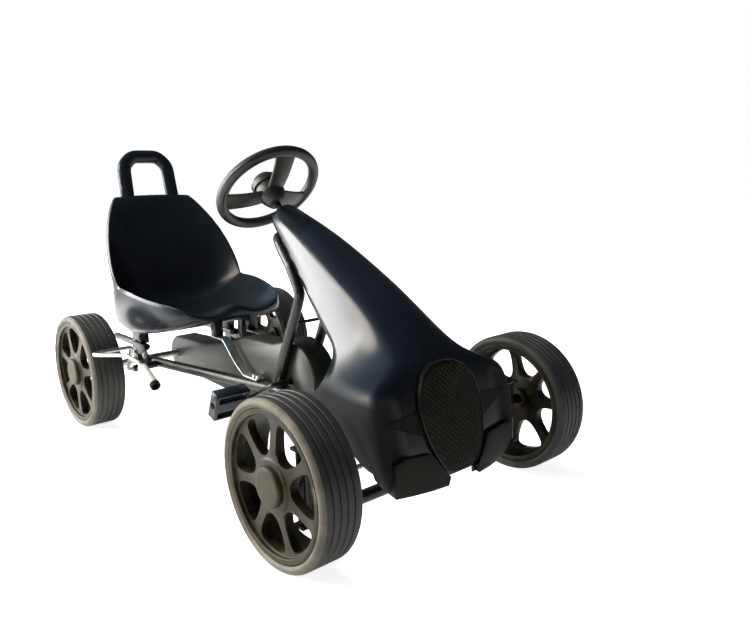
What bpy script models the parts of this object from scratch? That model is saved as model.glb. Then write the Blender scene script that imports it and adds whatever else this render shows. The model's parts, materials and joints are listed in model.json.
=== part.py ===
# Pedal go-kart with moulded seat, moulded front fairing and four alike wheels.
# Metres, +Z up, +X forward, +Y to the driver's left. Points below are measured from the rear axle
# along X, the middle plane along Y and the floor along Z. The kart_frame empty moves the whole kart
# so that its box is centred on the origin.
import math

import bmesh
import bpy
from mathutils import Matrix, Vector

# Wheels
WHEELBASE = 1.031
AXLE_Z = 0.160
TYRE_RADIUS = 0.160
TYRE_WIDTH = 0.089
TYRE_WALL = 0.018
TYRE_SHOULDER = 0.012
TYRE_BEAD_INSET = 0.002
RIM_LIP = 0.014
RIM_WIDTH = 0.082
RIM_WALL = 0.005
HUB_RADIUS = 0.050
HUB_BACK_RADIUS = 0.024
HUB_BACK_LENGTH = 0.012
CAP_RADIUS = 0.039
CAP_HEIGHT = 0.010
SPOKE_COUNT = 7
# How far each wheel has rolled, in degrees
ROLLED = {"front_left": 0.0, "front_right": -33.5, "rear_left": -25.0, "rear_right": -9.0}
SPOKE_DEPTH = 0.018
SPOKE_ROOT_WIDTH = 0.038
SPOKE_WAIST_WIDTH = 0.022
SPOKE_TIP_WIDTH = 0.052
FRONT_OUTER_FACE = 0.375
REAR_OUTER_FACE = 0.357
WHEEL_STEPS = 28
HUB_STEPS = 16

# Axles and clearances
FIT_GAP = 0.0003
TURNING_GAP = 0.0008
REAR_AXLE_RADIUS = 0.010
STUB_RADIUS = 0.0075
KINGPIN_DEPTH = 0.014
KINGPIN_RADIUS = 0.006
KNUCKLE_RADIUS = 0.012
KNUCKLE_LOW_Z = 0.066
KNUCKLE_HIGH_Z = 0.208
FORK_WALL = 0.006
FORK_HALF_WIDTH = 0.015
STEER_ARM_REACH = 0.070
STEER_ARM_Z = 0.107
TRACK_ROD_Z = 0.097

# Frame tubes
RAIL_RADIUS = 0.014
TUBE_SIDES = 10
RAIL_Z = 0.165
RAIL_FRONT_Y = 0.050
RAIL_BEND_X = 0.080
RAIL_NARROW_X = 0.555
BRACKET_Y = 0.159
BRACKET_WALL = 0.004
HOOP_RADIUS = 0.0135
HOOP_FOOT_X = 0.580
HOOP_TOP = (0.568, 0.0, 0.552)
SEAT_RAIL_RADIUS = 0.010
SEAT_RAIL_Z = 0.2015
STRUT_WIDTH = 0.026
STRUT_WALL = 0.004
STRUT_Y = 0.056
STRUT_TOP_Z = 0.262
AXLE_BEAM_RADIUS = 0.014
AXLE_BEAM_Z = 0.070

# Crank and pedals
CRANK_X = 0.616
CRANK_Z = 0.195
CRANK_REACH = 0.108
CRANK_RADIUS = 0.008
CRANK_ARM_Y = 0.090
CRANK_ANGLE = 207.0
PEDAL_ANGLE = 68.0
PEDAL_MIDDLE_Y = 0.156
PEDAL_WIDTH = 0.094
PEDAL_LENGTH = 0.076
PEDAL_HEIGHT = 0.034
PEDAL_WALL = 0.008
GUARD_DRUM_RADIUS = 0.104
GUARD_TAIL_RADIUS = 0.052

# Steering
WHEEL_CENTRE = (0.505, 0.0, 0.665)
COLUMN_TILT = 45.0
WHEEL_RING_RADIUS = 0.125
WHEEL_TUBE_RADIUS = 0.013
WHEEL_BOSS_RADIUS = 0.034
WHEEL_SPOKE_WIDTH = 0.052
WHEEL_SPOKE_ROOT = 0.021
COLUMN_RADIUS = 0.008
COLUMN_LENGTH = 0.697
DROP_ARM_REACH = 0.050
DROP_ARM_RADIUS = 0.004
ROD_FORK_HALF_GAP = 0.008
ROD_FORK_WALL = 0.005
ROD_FORK_HEIGHT = 0.053
FOOT_DISTANCE = 0.662
BEARING_DISTANCE = 0.087

# Hand brake
BRAKE_ROD_RADIUS = 0.005
BRAKE_GRIP_RADIUS = 0.011
BRAKE_PIVOT = (0.105, -0.200, 0.165)
BRAKE_TYRE_GAP = 0.008
BUSH_STANDOFF = 0.0026

# Seat
SEAT_RIM = 0.010
HANDLE_BASE_Z = 0.632
HANDLE_HEIGHT = 0.152
HANDLE_HALF_WIDTH = 0.096
HANDLE_BAND = 0.040
HANDLE_DEPTH = 0.024
HANDLE_LEAN = 0.20

# Fairing
FAIRING_WALL = 0.004
GRILLE_WALL = 0.005
BUMPER_WALL = 0.010
PANEL_LIFT = 0.0011
BUMPER_BACK_X = 1.106
NOTCH_TOP_Z = 0.115
NOTCH_HALF = 0.036
NOSE_WALL_X = 1.1365
STAY_Y = 0.090
STAY_WALL = 0.003
STAY_TOP_Z = 0.103
STAY_END_X = 1.105

# The kart's box runs from the seat handle's back to the front tyres' front
KART_REAR_X = -0.2251
KART_MIDDLE_X = (WHEELBASE + TYRE_RADIUS + KART_REAR_X) / 2

RIM_RADIUS = TYRE_RADIUS - TYRE_WALL
GUARD_HALF_WIDTH = RAIL_FRONT_Y - RAIL_RADIUS - FIT_GAP
SIDES = (("right", -1.0), ("left", 1.0))


def clear_scene():
    for item in list(bpy.data.objects):
        bpy.data.objects.remove(item, do_unlink=True)


def make_material(name, colour, roughness, metallic):
    material = bpy.data.materials.new(name)
    material.use_nodes = True
    shader = material.node_tree.nodes["Principled BSDF"]
    shader.inputs["Base Color"].default_value = (*colour, 1.0)
    shader.inputs["Roughness"].default_value = roughness
    shader.inputs["Metallic"].default_value = metallic
    material.diffuse_color = (*colour, 1.0)
    return material


clear_scene()
BLACK_PLASTIC = make_material("black_moulded_plastic", (0.012, 0.013, 0.015), 0.42, 0.0)
GREY_PLASTIC = make_material("grey_rim_plastic", (0.040, 0.036, 0.031), 0.55, 0.0)
TYRE_FOAM = make_material("tyre_foam", (0.085, 0.080, 0.070), 0.85, 0.0)
PAINTED_STEEL = make_material("black_painted_steel", (0.018, 0.017, 0.016), 0.38, 0.2)
BRIGHT_STEEL = make_material("bright_steel", (0.62, 0.61, 0.58), 0.28, 1.0)
GRIP_VINYL = make_material("grip_vinyl", (0.45, 0.44, 0.40), 0.5, 0.0)

kart_frame = bpy.data.objects.new("kart_frame", None)
kart_frame.location = (-KART_MIDDLE_X, 0.0, TYRE_RADIUS - AXLE_Z)
bpy.context.scene.collection.objects.link(kart_frame)


# Mesh helpers

def place(bm, name, material, pivot=(0.0, 0.0, 0.0), sharp_angle=40.0):
    """Turn a bmesh drawn in kart coordinates into a named object whose origin is at the pivot."""
    bmesh.ops.recalc_face_normals(bm, faces=bm.faces)
    if bm.calc_volume(signed=True) < 0.0:
        bmesh.ops.reverse_faces(bm, faces=bm.faces)
    bmesh.ops.translate(bm, verts=bm.verts, vec=-Vector(pivot))
    mesh = bpy.data.meshes.new(name)
    bm.to_mesh(mesh)
    bm.free()
    mesh.materials.append(material)
    mesh.shade_smooth()
    mesh.set_sharp_from_angle(angle=math.radians(sharp_angle))
    item = bpy.data.objects.new(name, mesh)
    item.location = pivot
    item.parent = kart_frame
    bpy.context.scene.collection.objects.link(item)
    return item


def turned(profile, steps, centre, axis=(0.0, 1.0, 0.0), flats=False):
    """Spin a closed outline of (radius, along) points right round an axis through the centre.

    With flats, a flat side faces the floor and each flat touches the true circle.
    """
    bm = bmesh.new()
    along = Vector(axis).normalized()
    out = along.orthogonal().normalized()
    if flats:
        out = Matrix.Rotation(math.pi / steps, 3, along) @ Vector((0.0, 0.0, -1.0))
        profile = [(radius / math.cos(math.pi / steps), reach) for radius, reach in profile]
    ring = [bm.verts.new(Vector(centre) + out * radius + along * reach) for radius, reach in profile]
    edges = [bm.edges.new((a, b)) for a, b in zip(ring, ring[1:])]
    if min(radius for radius, reach in profile) > 0.0:
        edges.append(bm.edges.new((ring[-1], ring[0])))
    bmesh.ops.spin(bm, geom=ring + edges, cent=Vector(centre), axis=along, angle=math.tau,
                   steps=steps, use_merge=False, use_duplicate=False)
    bmesh.ops.remove_doubles(bm, verts=bm.verts, dist=0.00002)
    return bm


def rod(start, end, radius, sides=12):
    """A plain round bar between two points."""
    start, end = Vector(start), Vector(end)
    length = (end - start).length
    bm = bmesh.new()
    bmesh.ops.create_cone(bm, cap_ends=True, segments=sides, radius1=radius, radius2=radius, depth=length)
    turn = (end - start).to_track_quat("Z", "Y").to_matrix().to_4x4()
    bmesh.ops.transform(bm, matrix=Matrix.Translation((start + end) / 2) @ turn, verts=bm.verts)
    return bm


def block(low, high, bevel=0.0, segments=1):
    """A box between two corners, with its edges bevelled."""
    low, high = Vector(low), Vector(high)
    bm = bmesh.new()
    bmesh.ops.create_cube(bm, size=1.0)
    bmesh.ops.scale(bm, vec=high - low, verts=bm.verts)
    bmesh.ops.translate(bm, vec=(low + high) / 2, verts=bm.verts)
    if bevel > 0.0:
        bmesh.ops.bevel(bm, geom=bm.edges[:], offset=bevel, segments=segments, profile=0.5, affect="EDGES")
    return bm


def slab(outline, near_y, far_y, bevel=0.0):
    """An outline of (x, z) points extruded across the kart from near_y to far_y."""
    bm = bmesh.new()
    face = bm.faces.new([bm.verts.new((x, near_y, z)) for x, z in outline])
    rim = [edge for edge in bm.edges]
    grown = bmesh.ops.extrude_face_region(bm, geom=[face], use_keep_orig=True)
    moved = [part for part in grown["geom"] if isinstance(part, bmesh.types.BMVert)]
    bmesh.ops.translate(bm, vec=(0.0, far_y - near_y, 0.0), verts=moved)
    if bevel > 0.0:
        lids = rim + [part for part in grown["geom"] if isinstance(part, bmesh.types.BMEdge)]
        bmesh.ops.bevel(bm, geom=lids, offset=bevel, segments=1, profile=0.5, affect="EDGES")
    return bm


def bent(points, radius, steps=4):
    """A path through the points with each inner corner rounded by an arc."""
    path = [Vector(points[0])]
    for before, corner, after in zip(points, points[1:], points[2:]):
        before, corner, after = Vector(before), Vector(corner), Vector(after)
        into = (before - corner).normalized()
        away = (after - corner).normalized()
        half = into.angle(away) / 2
        reach = min(radius / math.tan(half), 0.45 * (before - corner).length,
                    0.45 * (after - corner).length)
        bend = reach * math.tan(half)
        middle = corner + (into + away).normalized() * (bend / math.sin(half))
        start = corner + into * reach - middle
        turn_axis = start.cross(corner + away * reach - middle)
        for step in range(steps + 1):
            share = step / steps * (math.pi - 2 * half)
            path.append(middle + Matrix.Rotation(share, 3, turn_axis) @ start)
    path.append(Vector(points[-1]))
    return path


def swept(path, section, side=(0.0, 1.0, 0.0)):
    """Sweep an outline along a path; its first coordinate lies along the side direction."""
    bm = bmesh.new()
    rings = []
    for index, point in enumerate(path):
        behind = path[max(index - 1, 0)]
        ahead = path[min(index + 1, len(path) - 1)]
        tangent = (ahead - behind).normalized()
        across = (Vector(side) - tangent * tangent.dot(Vector(side))).normalized()
        up = tangent.cross(across)
        rings.append([bm.verts.new(point + across * u + up * v) for u, v in section])
    for one, two in zip(rings, rings[1:]):
        for index in range(len(section)):
            after = (index + 1) % len(section)
            bm.faces.new((one[index], one[after], two[after], two[index]))
    bm.faces.new(rings[0])
    bm.faces.new(rings[-1])
    return bm


def circle(radius, sides=8):
    return [(radius * math.cos(math.tau * k / sides), radius * math.sin(math.tau * k / sides))
            for k in range(sides)]


def flat_bar(width, wall):
    return [(-width / 2, -wall / 2), (width / 2, -wall / 2), (width / 2, wall / 2), (-width / 2, wall / 2)]


def merge(first, *others):
    """Put the geometry of several bmeshes into the first."""
    for other in others:
        scrap = bpy.data.meshes.new("scrap")
        other.to_mesh(scrap)
        other.free()
        first.from_mesh(scrap)
        bpy.data.meshes.remove(scrap)
    return first


def hide_as_tool(item):
    item.hide_render = True
    item.display_type = "WIRE"
    return item


def combine(item, operation, *tools):
    """Cut an object with, or join it to, tool objects through Boolean modifiers."""
    for tool in tools:
        hide_as_tool(tool)
        step = item.modifiers.new(operation.lower(), "BOOLEAN")
        step.operation = operation
        step.solver = "EXACT"
        step.object = tool
    return item


# Wheels

def tyre_profile():
    half = TYRE_WIDTH / 2
    seat = RIM_RADIUS + FIT_GAP
    crown = TYRE_RADIUS
    edge = TYRE_SHOULDER
    bead = half - TYRE_BEAD_INSET
    return [(seat, 0.006 - bead), (seat + 0.006, -bead), (crown - edge, -half),
            (crown - 0.3 * edge, -half + 0.3 * edge), (crown, -half + edge), (crown, half - edge),
            (crown - 0.3 * edge, half - 0.3 * edge), (crown - edge, half), (seat + 0.006, bead),
            (seat, bead - 0.006)]


def spoke_cutout(angle, outward, middle_y):
    """One dog-bone spoke: wide at the hub and the rim and narrow at its waist."""
    root = HUB_RADIUS - 0.008
    tip = RIM_RADIUS - RIM_LIP + 0.004
    stations = [(0.0, SPOKE_ROOT_WIDTH), (0.35, SPOKE_WAIST_WIDTH), (0.7, SPOKE_WAIST_WIDTH + 0.004),
                (1.0, SPOKE_TIP_WIDTH)]
    near = [(root + share * (tip - root), width / 2) for share, width in stations]
    outline = near + [(reach, -half) for reach, half in reversed(near)]
    face_y = outward * (RIM_WIDTH / 2 - 0.006)
    bm = slab(outline, face_y, face_y - outward * SPOKE_DEPTH)
    bmesh.ops.rotate(bm, verts=bm.verts, cent=(0, 0, 0), matrix=Matrix.Rotation(angle, 3, "Y"))
    bmesh.ops.translate(bm, verts=bm.verts, vec=(0, middle_y, 0))
    return bm


def wheel(end, side_name, side, axle_x, outer_face, bore):
    """Tyre, spoked rim and hub cap of one wheel; side is +1 on the left."""
    name = f"{end}_{side_name}"
    middle_y = side * (outer_face - TYRE_WIDTH / 2)
    centre = (axle_x, middle_y, AXLE_Z)
    place(turned(tyre_profile(), WHEEL_STEPS, centre, flats=True), f"tyre_{name}", TYRE_FOAM, centre)

    half = RIM_WIDTH / 2
    lip = RIM_RADIUS - RIM_LIP
    neck = lip + 0.5 * RIM_LIP - RIM_WALL / 2
    barrel = [(RIM_RADIUS, -half), (RIM_RADIUS, half), (lip, half), (neck, half - 0.016),
              (neck, -half + 0.016), (lip, -half)]
    rim = place(turned(barrel, WHEEL_STEPS, (0, 0, 0), flats=True), f"rim_{name}", GREY_PLASTIC)
    spokes = bmesh.new()
    for index in range(SPOKE_COUNT):
        turn = math.radians(ROLLED[name]) + math.tau * index / SPOKE_COUNT
        spokes = merge(spokes, spoke_cutout(turn, side, 0.0))
    outer = side * (half - 0.002)
    shoulder = side * (half - SPOKE_DEPTH - 0.008)
    inner = shoulder - side * HUB_BACK_LENGTH
    hub = [(bore, outer), (HUB_RADIUS, outer), (HUB_RADIUS, shoulder), (HUB_BACK_RADIUS, shoulder),
           (HUB_BACK_RADIUS, inner), (bore, inner)]
    spokes_tool = place(spokes, f"spokes_{name}", GREY_PLASTIC)
    hub_tool = place(turned(hub, HUB_STEPS, (0, 0, 0)), f"hub_{name}", GREY_PLASTIC)
    for piece in (rim, spokes_tool, hub_tool):
        piece.location = centre
    combine(rim, "UNION", spokes_tool, hub_tool)

    face = middle_y + side * (half - 0.002 + FIT_GAP)
    crown = face + side * CAP_HEIGHT
    cap = [(0.0, face), (CAP_RADIUS, face), (CAP_RADIUS, crown - side * 0.003), (CAP_RADIUS - 0.004, crown),
           (0.0, crown - side * 0.001)]
    place(turned([(radius, reach - middle_y) for radius, reach in cap], HUB_STEPS, centre), f"hub_cap_{name}",
          GREY_PLASTIC, centre)


def wheels():
    for side_name, side in SIDES:
        wheel("rear", side_name, side, 0.0, REAR_OUTER_FACE, REAR_AXLE_RADIUS + FIT_GAP)
        wheel("front", side_name, side, WHEELBASE, FRONT_OUTER_FACE, STUB_RADIUS + TURNING_GAP)


def rear_axle():
    reach = REAR_OUTER_FACE - TYRE_WIDTH / 2 + RIM_WIDTH / 2 - 0.003
    place(rod((0, -reach, AXLE_Z), (0, reach, AXLE_Z), REAR_AXLE_RADIUS, 16), "rear_axle_shaft",
          BRIGHT_STEEL, (0, 0, AXLE_Z))


# Frame

def rail_y(x):
    """Distance of a rail's centre line from the middle plane along its slanting stretch."""
    rear_y = BRACKET_Y - BRACKET_WALL / 2 - RAIL_RADIUS - FIT_GAP
    share = (x - RAIL_BEND_X) / (RAIL_NARROW_X - RAIL_BEND_X)
    return rear_y + share * (RAIL_FRONT_Y - rear_y)


def frame_rails():
    rear_y = rail_y(RAIL_BEND_X)
    nose_x = WHEELBASE - AXLE_BEAM_RADIUS - FIT_GAP
    for side_name, side in SIDES:
        path = bent([(0.036, side * rear_y, RAIL_Z), (RAIL_BEND_X, side * rear_y, RAIL_Z),
                     (RAIL_NARROW_X, side * RAIL_FRONT_Y, RAIL_Z), (0.780, side * RAIL_FRONT_Y, RAIL_Z),
                     (0.930, side * RAIL_FRONT_Y, AXLE_BEAM_Z), (nose_x, side * RAIL_FRONT_Y, AXLE_BEAM_Z)], 0.08, 3)
        place(swept(path, circle(RAIL_RADIUS, TUBE_SIDES)), f"frame_rail_{side_name}", PAINTED_STEEL)


def rear_brackets():
    hole = REAR_AXLE_RADIUS + TURNING_GAP
    outline = [(-0.045, 0.140), (0.034, 0.140), (0.060, 0.152), (0.060, 0.186), (0.036, 0.210),
               (-0.045, 0.210)]
    for side_name, side in SIDES:
        inner = side * (BRACKET_Y - BRACKET_WALL / 2)
        outer = side * (BRACKET_Y + BRACKET_WALL / 2)
        plate = place(slab(outline, inner, outer), f"rear_bracket_{side_name}", PAINTED_STEEL)
        reach = side * (BRACKET_Y + 0.011)
        boss = place(rod((0, side * (BRACKET_Y - 0.011), AXLE_Z), (0, reach, AXLE_Z), 0.019, 20),
                     f"boss_{side_name}", PAINTED_STEEL)
        bore = place(rod((0, side * 0.12, AXLE_Z), (0, side * 0.20, AXLE_Z), hole, 16),
                     f"axle_hole_{side_name}", PAINTED_STEEL)
        combine(plate, "UNION", boss)
        combine(plate, "DIFFERENCE", bore)


def seat_rails():
    for side_name, side in SIDES:
        y = side * (BRACKET_Y - BRACKET_WALL / 2 - SEAT_RAIL_RADIUS - FIT_GAP)
        path = [Vector((-0.200, y, SEAT_RAIL_Z)), Vector((0.030, y, SEAT_RAIL_Z))]
        place(swept(path, circle(SEAT_RAIL_RADIUS, 12)), f"seat_rail_{side_name}", PAINTED_STEEL)


def seat_struts():
    """Flat bars bent from a foot on each frame rail up to the seat's front."""
    for side_name, side in SIDES:
        y = side * STRUT_Y
        foot_z = RAIL_Z + RAIL_RADIUS + FIT_GAP + STRUT_WALL / 2
        path = bent([(0.510, y, foot_z), (0.445, y, foot_z), (0.405, y, foot_z + 0.025),
                     (0.345, y, STRUT_TOP_Z), (0.285, y, STRUT_TOP_Z)], 0.015, 3)
        place(swept(path, flat_bar(STRUT_WIDTH, STRUT_WALL)), f"seat_strut_{side_name}", BRIGHT_STEEL)


def steering_hoop():
    """One bent tube that stands on both rails and carries the column's upper end."""
    foot_z = RAIL_Z + RAIL_RADIUS + FIT_GAP
    right = [(HOOP_FOOT_X, -0.050, foot_z), (HOOP_FOOT_X, -0.050, foot_z + 0.010),
             (HOOP_FOOT_X + 0.024, -0.050, 0.240), (0.695, -0.050, 0.425),
             (0.655, -0.048, 0.487), (HOOP_TOP[0], -0.028, HOOP_TOP[2])]
    left = [(x, -y, z) for x, y, z in reversed(right)]
    path = bent(right + left, 0.020, 2)
    place(swept(path, circle(HOOP_RADIUS, TUBE_SIDES)), "steering_hoop", PAINTED_STEEL)
    place(rod((0.659, -0.036, 0.350), (0.659, 0.036, 0.350), 0.004, 8), "hoop_cross_rod", PAINTED_STEEL)


def chain_guard():
    """Long flat box round the chain with a drum round the crank's chain wheel."""
    outline = []
    for step in range(9):
        angle = math.radians(100 + step * 20)
        outline.append((GUARD_TAIL_RADIUS * math.cos(angle), AXLE_Z + GUARD_TAIL_RADIUS * math.sin(angle)))
    for step in range(13):
        angle = math.radians(-90 + step * 15)
        outline.append((CRANK_X + GUARD_DRUM_RADIUS * math.cos(angle),
                        CRANK_Z + GUARD_DRUM_RADIUS * math.sin(angle)))
    outline += [(0.555, 0.283), (0.540, 0.278), (0.400, 0.272), (0.200, 0.222)]
    guard = place(slab(outline, -GUARD_HALF_WIDTH, GUARD_HALF_WIDTH, 0.006), "chain_guard", BLACK_PLASTIC)
    crank_hole = place(rod((CRANK_X, -0.1, CRANK_Z), (CRANK_X, 0.1, CRANK_Z), CRANK_RADIUS + TURNING_GAP, 16),
                       "crank_hole", BLACK_PLASTIC)
    axle_hole = place(rod((0, -0.1, AXLE_Z), (0, 0.1, AXLE_Z), REAR_AXLE_RADIUS + 0.003, 16),
                      "axle_hole", BLACK_PLASTIC)
    combine(guard, "DIFFERENCE", crank_hole, axle_hole)


# Crank and pedals

def crank():
    """One bent rod: through the drum, out along both arms and out again as the pedal pins."""
    angle = math.radians(CRANK_ANGLE)
    reach = Vector((math.cos(angle), 0.0, math.sin(angle))) * CRANK_REACH
    axis = Vector((CRANK_X, 0.0, CRANK_Z))
    tip_y = PEDAL_MIDDLE_Y + PEDAL_WIDTH / 2 + 0.006
    points = [axis + reach + Vector((0, -tip_y, 0)), axis + reach + Vector((0, -CRANK_ARM_Y, 0)),
              axis + Vector((0, -CRANK_ARM_Y, 0)), axis + Vector((0, CRANK_ARM_Y, 0)),
              axis - reach + Vector((0, CRANK_ARM_Y, 0)), axis - reach + Vector((0, tip_y, 0))]
    upright = reach.normalized().cross(Vector((0, 1, 0)))
    place(swept(bent(points, 0.012, 3), circle(CRANK_RADIUS), upright), "crank_rod", PAINTED_STEEL, axis)
    for (side_name, side), pin in zip(SIDES, (axis + reach, axis - reach)):
        pedal(side_name, side, pin)


def pedal(side_name, side, pin):
    """Open block with an upright plate on its inner side, turning on the crank's pin."""
    y = side * PEDAL_MIDDLE_Y
    low = (pin.x - PEDAL_LENGTH / 2, y - PEDAL_WIDTH / 2, pin.z - PEDAL_HEIGHT / 2)
    high = (pin.x + PEDAL_LENGTH / 2, y + PEDAL_WIDTH / 2, pin.z + PEDAL_HEIGHT / 2)
    tilt = Matrix.Rotation(math.radians(-PEDAL_ANGLE), 3, "Y")
    middle = pin + Vector((0, y, 0))
    shape = block(low, high, 0.004)
    bmesh.ops.rotate(shape, verts=shape.verts, cent=middle, matrix=tilt)
    body = place(shape, f"pedal_{side_name}", BLACK_PLASTIC, middle)
    tools = []
    for end in (-1, 1):
        near = pin.x + end * (PEDAL_LENGTH / 2 - PEDAL_WALL)
        far = pin.x + end * 0.013
        window = block((min(near, far), y - PEDAL_WIDTH / 2 + PEDAL_WALL, pin.z - 0.1),
                       (max(near, far), y + PEDAL_WIDTH / 2 - PEDAL_WALL, pin.z + 0.1))
        bmesh.ops.rotate(window, verts=window.verts, cent=middle, matrix=tilt)
        tools.append(place(window, f"pedal_window_{side_name}_{end}", BLACK_PLASTIC))
    tools.append(place(rod(pin + Vector((0, y - 0.1, 0)), pin + Vector((0, y + 0.1, 0)),
                           CRANK_RADIUS + TURNING_GAP, 16), f"pedal_bore_{side_name}", BLACK_PLASTIC))
    combine(body, "DIFFERENCE", *tools)


# Front axle and steering

def kingpin_y():
    """The kingpins stand inside the hollow inner side of the front wheels."""
    return FRONT_OUTER_FACE - TYRE_WIDTH + KINGPIN_DEPTH


def front_axle():
    """Low cross tube under the fairing with an upright fork at each end round the knuckle."""
    web_y = kingpin_y() - KNUCKLE_RADIUS - 0.012
    beam = place(rod((WHEELBASE, -web_y, AXLE_BEAM_Z), (WHEELBASE, web_y, AXLE_BEAM_Z), AXLE_BEAM_RADIUS, 16),
                 "front_axle_beam", PAINTED_STEEL)
    low_z = KNUCKLE_LOW_Z - TURNING_GAP
    high_z = KNUCKLE_HIGH_Z + TURNING_GAP
    half = FORK_HALF_WIDTH
    tools = []
    for side_name, side in SIDES:
        inner = side * (web_y - FORK_WALL)
        outer = side * (kingpin_y() + half)
        near, far = min(inner, outer), max(inner, outer)
        web_near, web_far = sorted((inner, side * web_y))
        pin_base = Vector((WHEELBASE, side * kingpin_y(), 0.0))
        parts = (
            ("bottom", block((WHEELBASE - half, near, low_z - FORK_WALL), (WHEELBASE + half, far, low_z))),
            ("top", block((WHEELBASE - half, near, high_z), (WHEELBASE + half, far, high_z + FORK_WALL))),
            ("web", block((WHEELBASE - half, web_near, low_z - FORK_WALL),
                          (WHEELBASE + half, web_far, high_z + FORK_WALL))),
            ("pin", rod(pin_base + Vector((0, 0, low_z - FORK_WALL - 0.006)),
                        pin_base + Vector((0, 0, high_z + FORK_WALL + 0.006)), KINGPIN_RADIUS, 12)),
        )
        for label, part in parts:
            tools.append(place(part, f"fork_{label}_{side_name}", PAINTED_STEEL))
    combine(beam, "UNION", *tools)


def knuckles():
    """Upright barrel on the kingpin with the wheel's stub axle and a steering arm behind it."""
    for side_name, side in SIDES:
        pivot = Vector((WHEELBASE, side * kingpin_y(), AXLE_Z))
        low = Vector((pivot.x, pivot.y, KNUCKLE_LOW_Z))
        high = Vector((pivot.x, pivot.y, KNUCKLE_HIGH_Z))
        barrel = place(rod(low, high, KNUCKLE_RADIUS, 16), f"knuckle_{side_name}", PAINTED_STEEL, pivot)
        tip_y = side * (FRONT_OUTER_FACE - TYRE_WIDTH / 2 + RIM_WIDTH / 2 - 0.003)
        stub = place(rod((pivot.x, pivot.y + side * 0.008, AXLE_Z), (pivot.x, tip_y, AXLE_Z),
                         STUB_RADIUS, 12), f"stub_{side_name}", BRIGHT_STEEL)
        arm = place(block((pivot.x - STEER_ARM_REACH - 0.009, pivot.y - 0.008, STEER_ARM_Z),
                          (pivot.x - 0.008, pivot.y + 0.008, STEER_ARM_Z + 0.005)),
                    f"steer_arm_{side_name}", PAINTED_STEEL)
        bore = place(rod(pivot - Vector((0, 0, 0.15)), pivot + Vector((0, 0, 0.15)),
                         KINGPIN_RADIUS + TURNING_GAP, 12), f"kingpin_bore_{side_name}", PAINTED_STEEL)
        combine(barrel, "UNION", stub, arm)
        combine(barrel, "DIFFERENCE", bore)


def track_rod():
    """Rod between the two steering arms, below them, with an upright eye at each end."""
    x = WHEELBASE - STEER_ARM_REACH
    reach = kingpin_y()
    bar = place(rod((x, -reach, TRACK_ROD_Z), (x, reach, TRACK_ROD_Z), 0.006, 10), "track_rod", BRIGHT_STEEL,
                (x, 0, TRACK_ROD_Z))
    tools = []
    for side_name, side in SIDES:
        eye = rod((x, side * reach, TRACK_ROD_Z - 0.007), (x, side * reach, STEER_ARM_Z - TURNING_GAP), 0.008, 14)
        tools.append(place(eye, f"rod_eye_{side_name}", BRIGHT_STEEL))
        near, far = sorted((side * ROD_FORK_HALF_GAP, side * (ROD_FORK_HALF_GAP + ROD_FORK_WALL)))
        tine = block((x - 0.010, near, TRACK_ROD_Z - 0.004), (x + 0.024, far, TRACK_ROD_Z + ROD_FORK_HEIGHT))
        tools.append(place(tine, f"rod_tine_{side_name}", BRIGHT_STEEL))
    combine(bar, "UNION", *tools)


def column_axes():
    """Directions along the column towards the driver, up in the wheel's plane, and across."""
    tilt = math.radians(COLUMN_TILT)
    towards = Vector((-math.sin(tilt), 0.0, math.cos(tilt)))
    up = Vector((math.cos(tilt), 0.0, math.sin(tilt)))
    return towards, up


def steering():
    towards, up = column_axes()
    across = Vector((0.0, 1.0, 0.0))
    centre = Vector(WHEEL_CENTRE)
    ring = [(WHEEL_RING_RADIUS + u, v) for u, v in circle(WHEEL_TUBE_RADIUS, 8)]
    wheel_ring = place(turned(ring, WHEEL_STEPS, centre, towards), "steering_wheel", BLACK_PLASTIC, centre)
    tools = []
    for label, clock in (("top", 0.0), ("right", 110.0), ("left", 250.0)):
        angle = math.radians(clock)
        out = up * math.cos(angle) - across * math.sin(angle)
        inner = centre + out * WHEEL_SPOKE_ROOT - towards * 0.016
        outer = centre + out * (WHEEL_RING_RADIUS - 0.004)
        knee = centre + out * 0.075 - towards * 0.010
        side = out.cross(towards)
        bar = swept(bent([inner, knee, outer], 0.05, 2), flat_bar(WHEEL_SPOKE_WIDTH, 0.012), side)
        tools.append(place(bar, f"wheel_spoke_{label}", BLACK_PLASTIC))
    boss = turned([(0.0, -0.052), (0.020, -0.052), (WHEEL_BOSS_RADIUS, -0.024), (WHEEL_BOSS_RADIUS, 0.004),
                   (0.0, 0.004)], 20, centre, towards)
    tools.append(place(boss, "wheel_boss", BLACK_PLASTIC))
    combine(wheel_ring, "UNION", *tools)

    pad = turned([(0.0, 0.004 + FIT_GAP), (0.036, 0.004 + FIT_GAP), (0.038, 0.020), (0.026, 0.034),
                  (0.0, 0.034)], 20, centre, towards)
    place(pad, "horn_pad", BLACK_PLASTIC, centre)

    top = centre - towards * (0.052 + FIT_GAP)
    bottom = centre - towards * COLUMN_LENGTH
    column = place(rod(bottom, top, COLUMN_RADIUS, 12), "steering_column", PAINTED_STEEL, centre)
    root = bottom + towards * DROP_ARM_RADIUS
    arm = place(rod(root, root - up * DROP_ARM_REACH, DROP_ARM_RADIUS, 10), "drop_arm", PAINTED_STEEL)
    combine(column, "UNION", arm)


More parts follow.
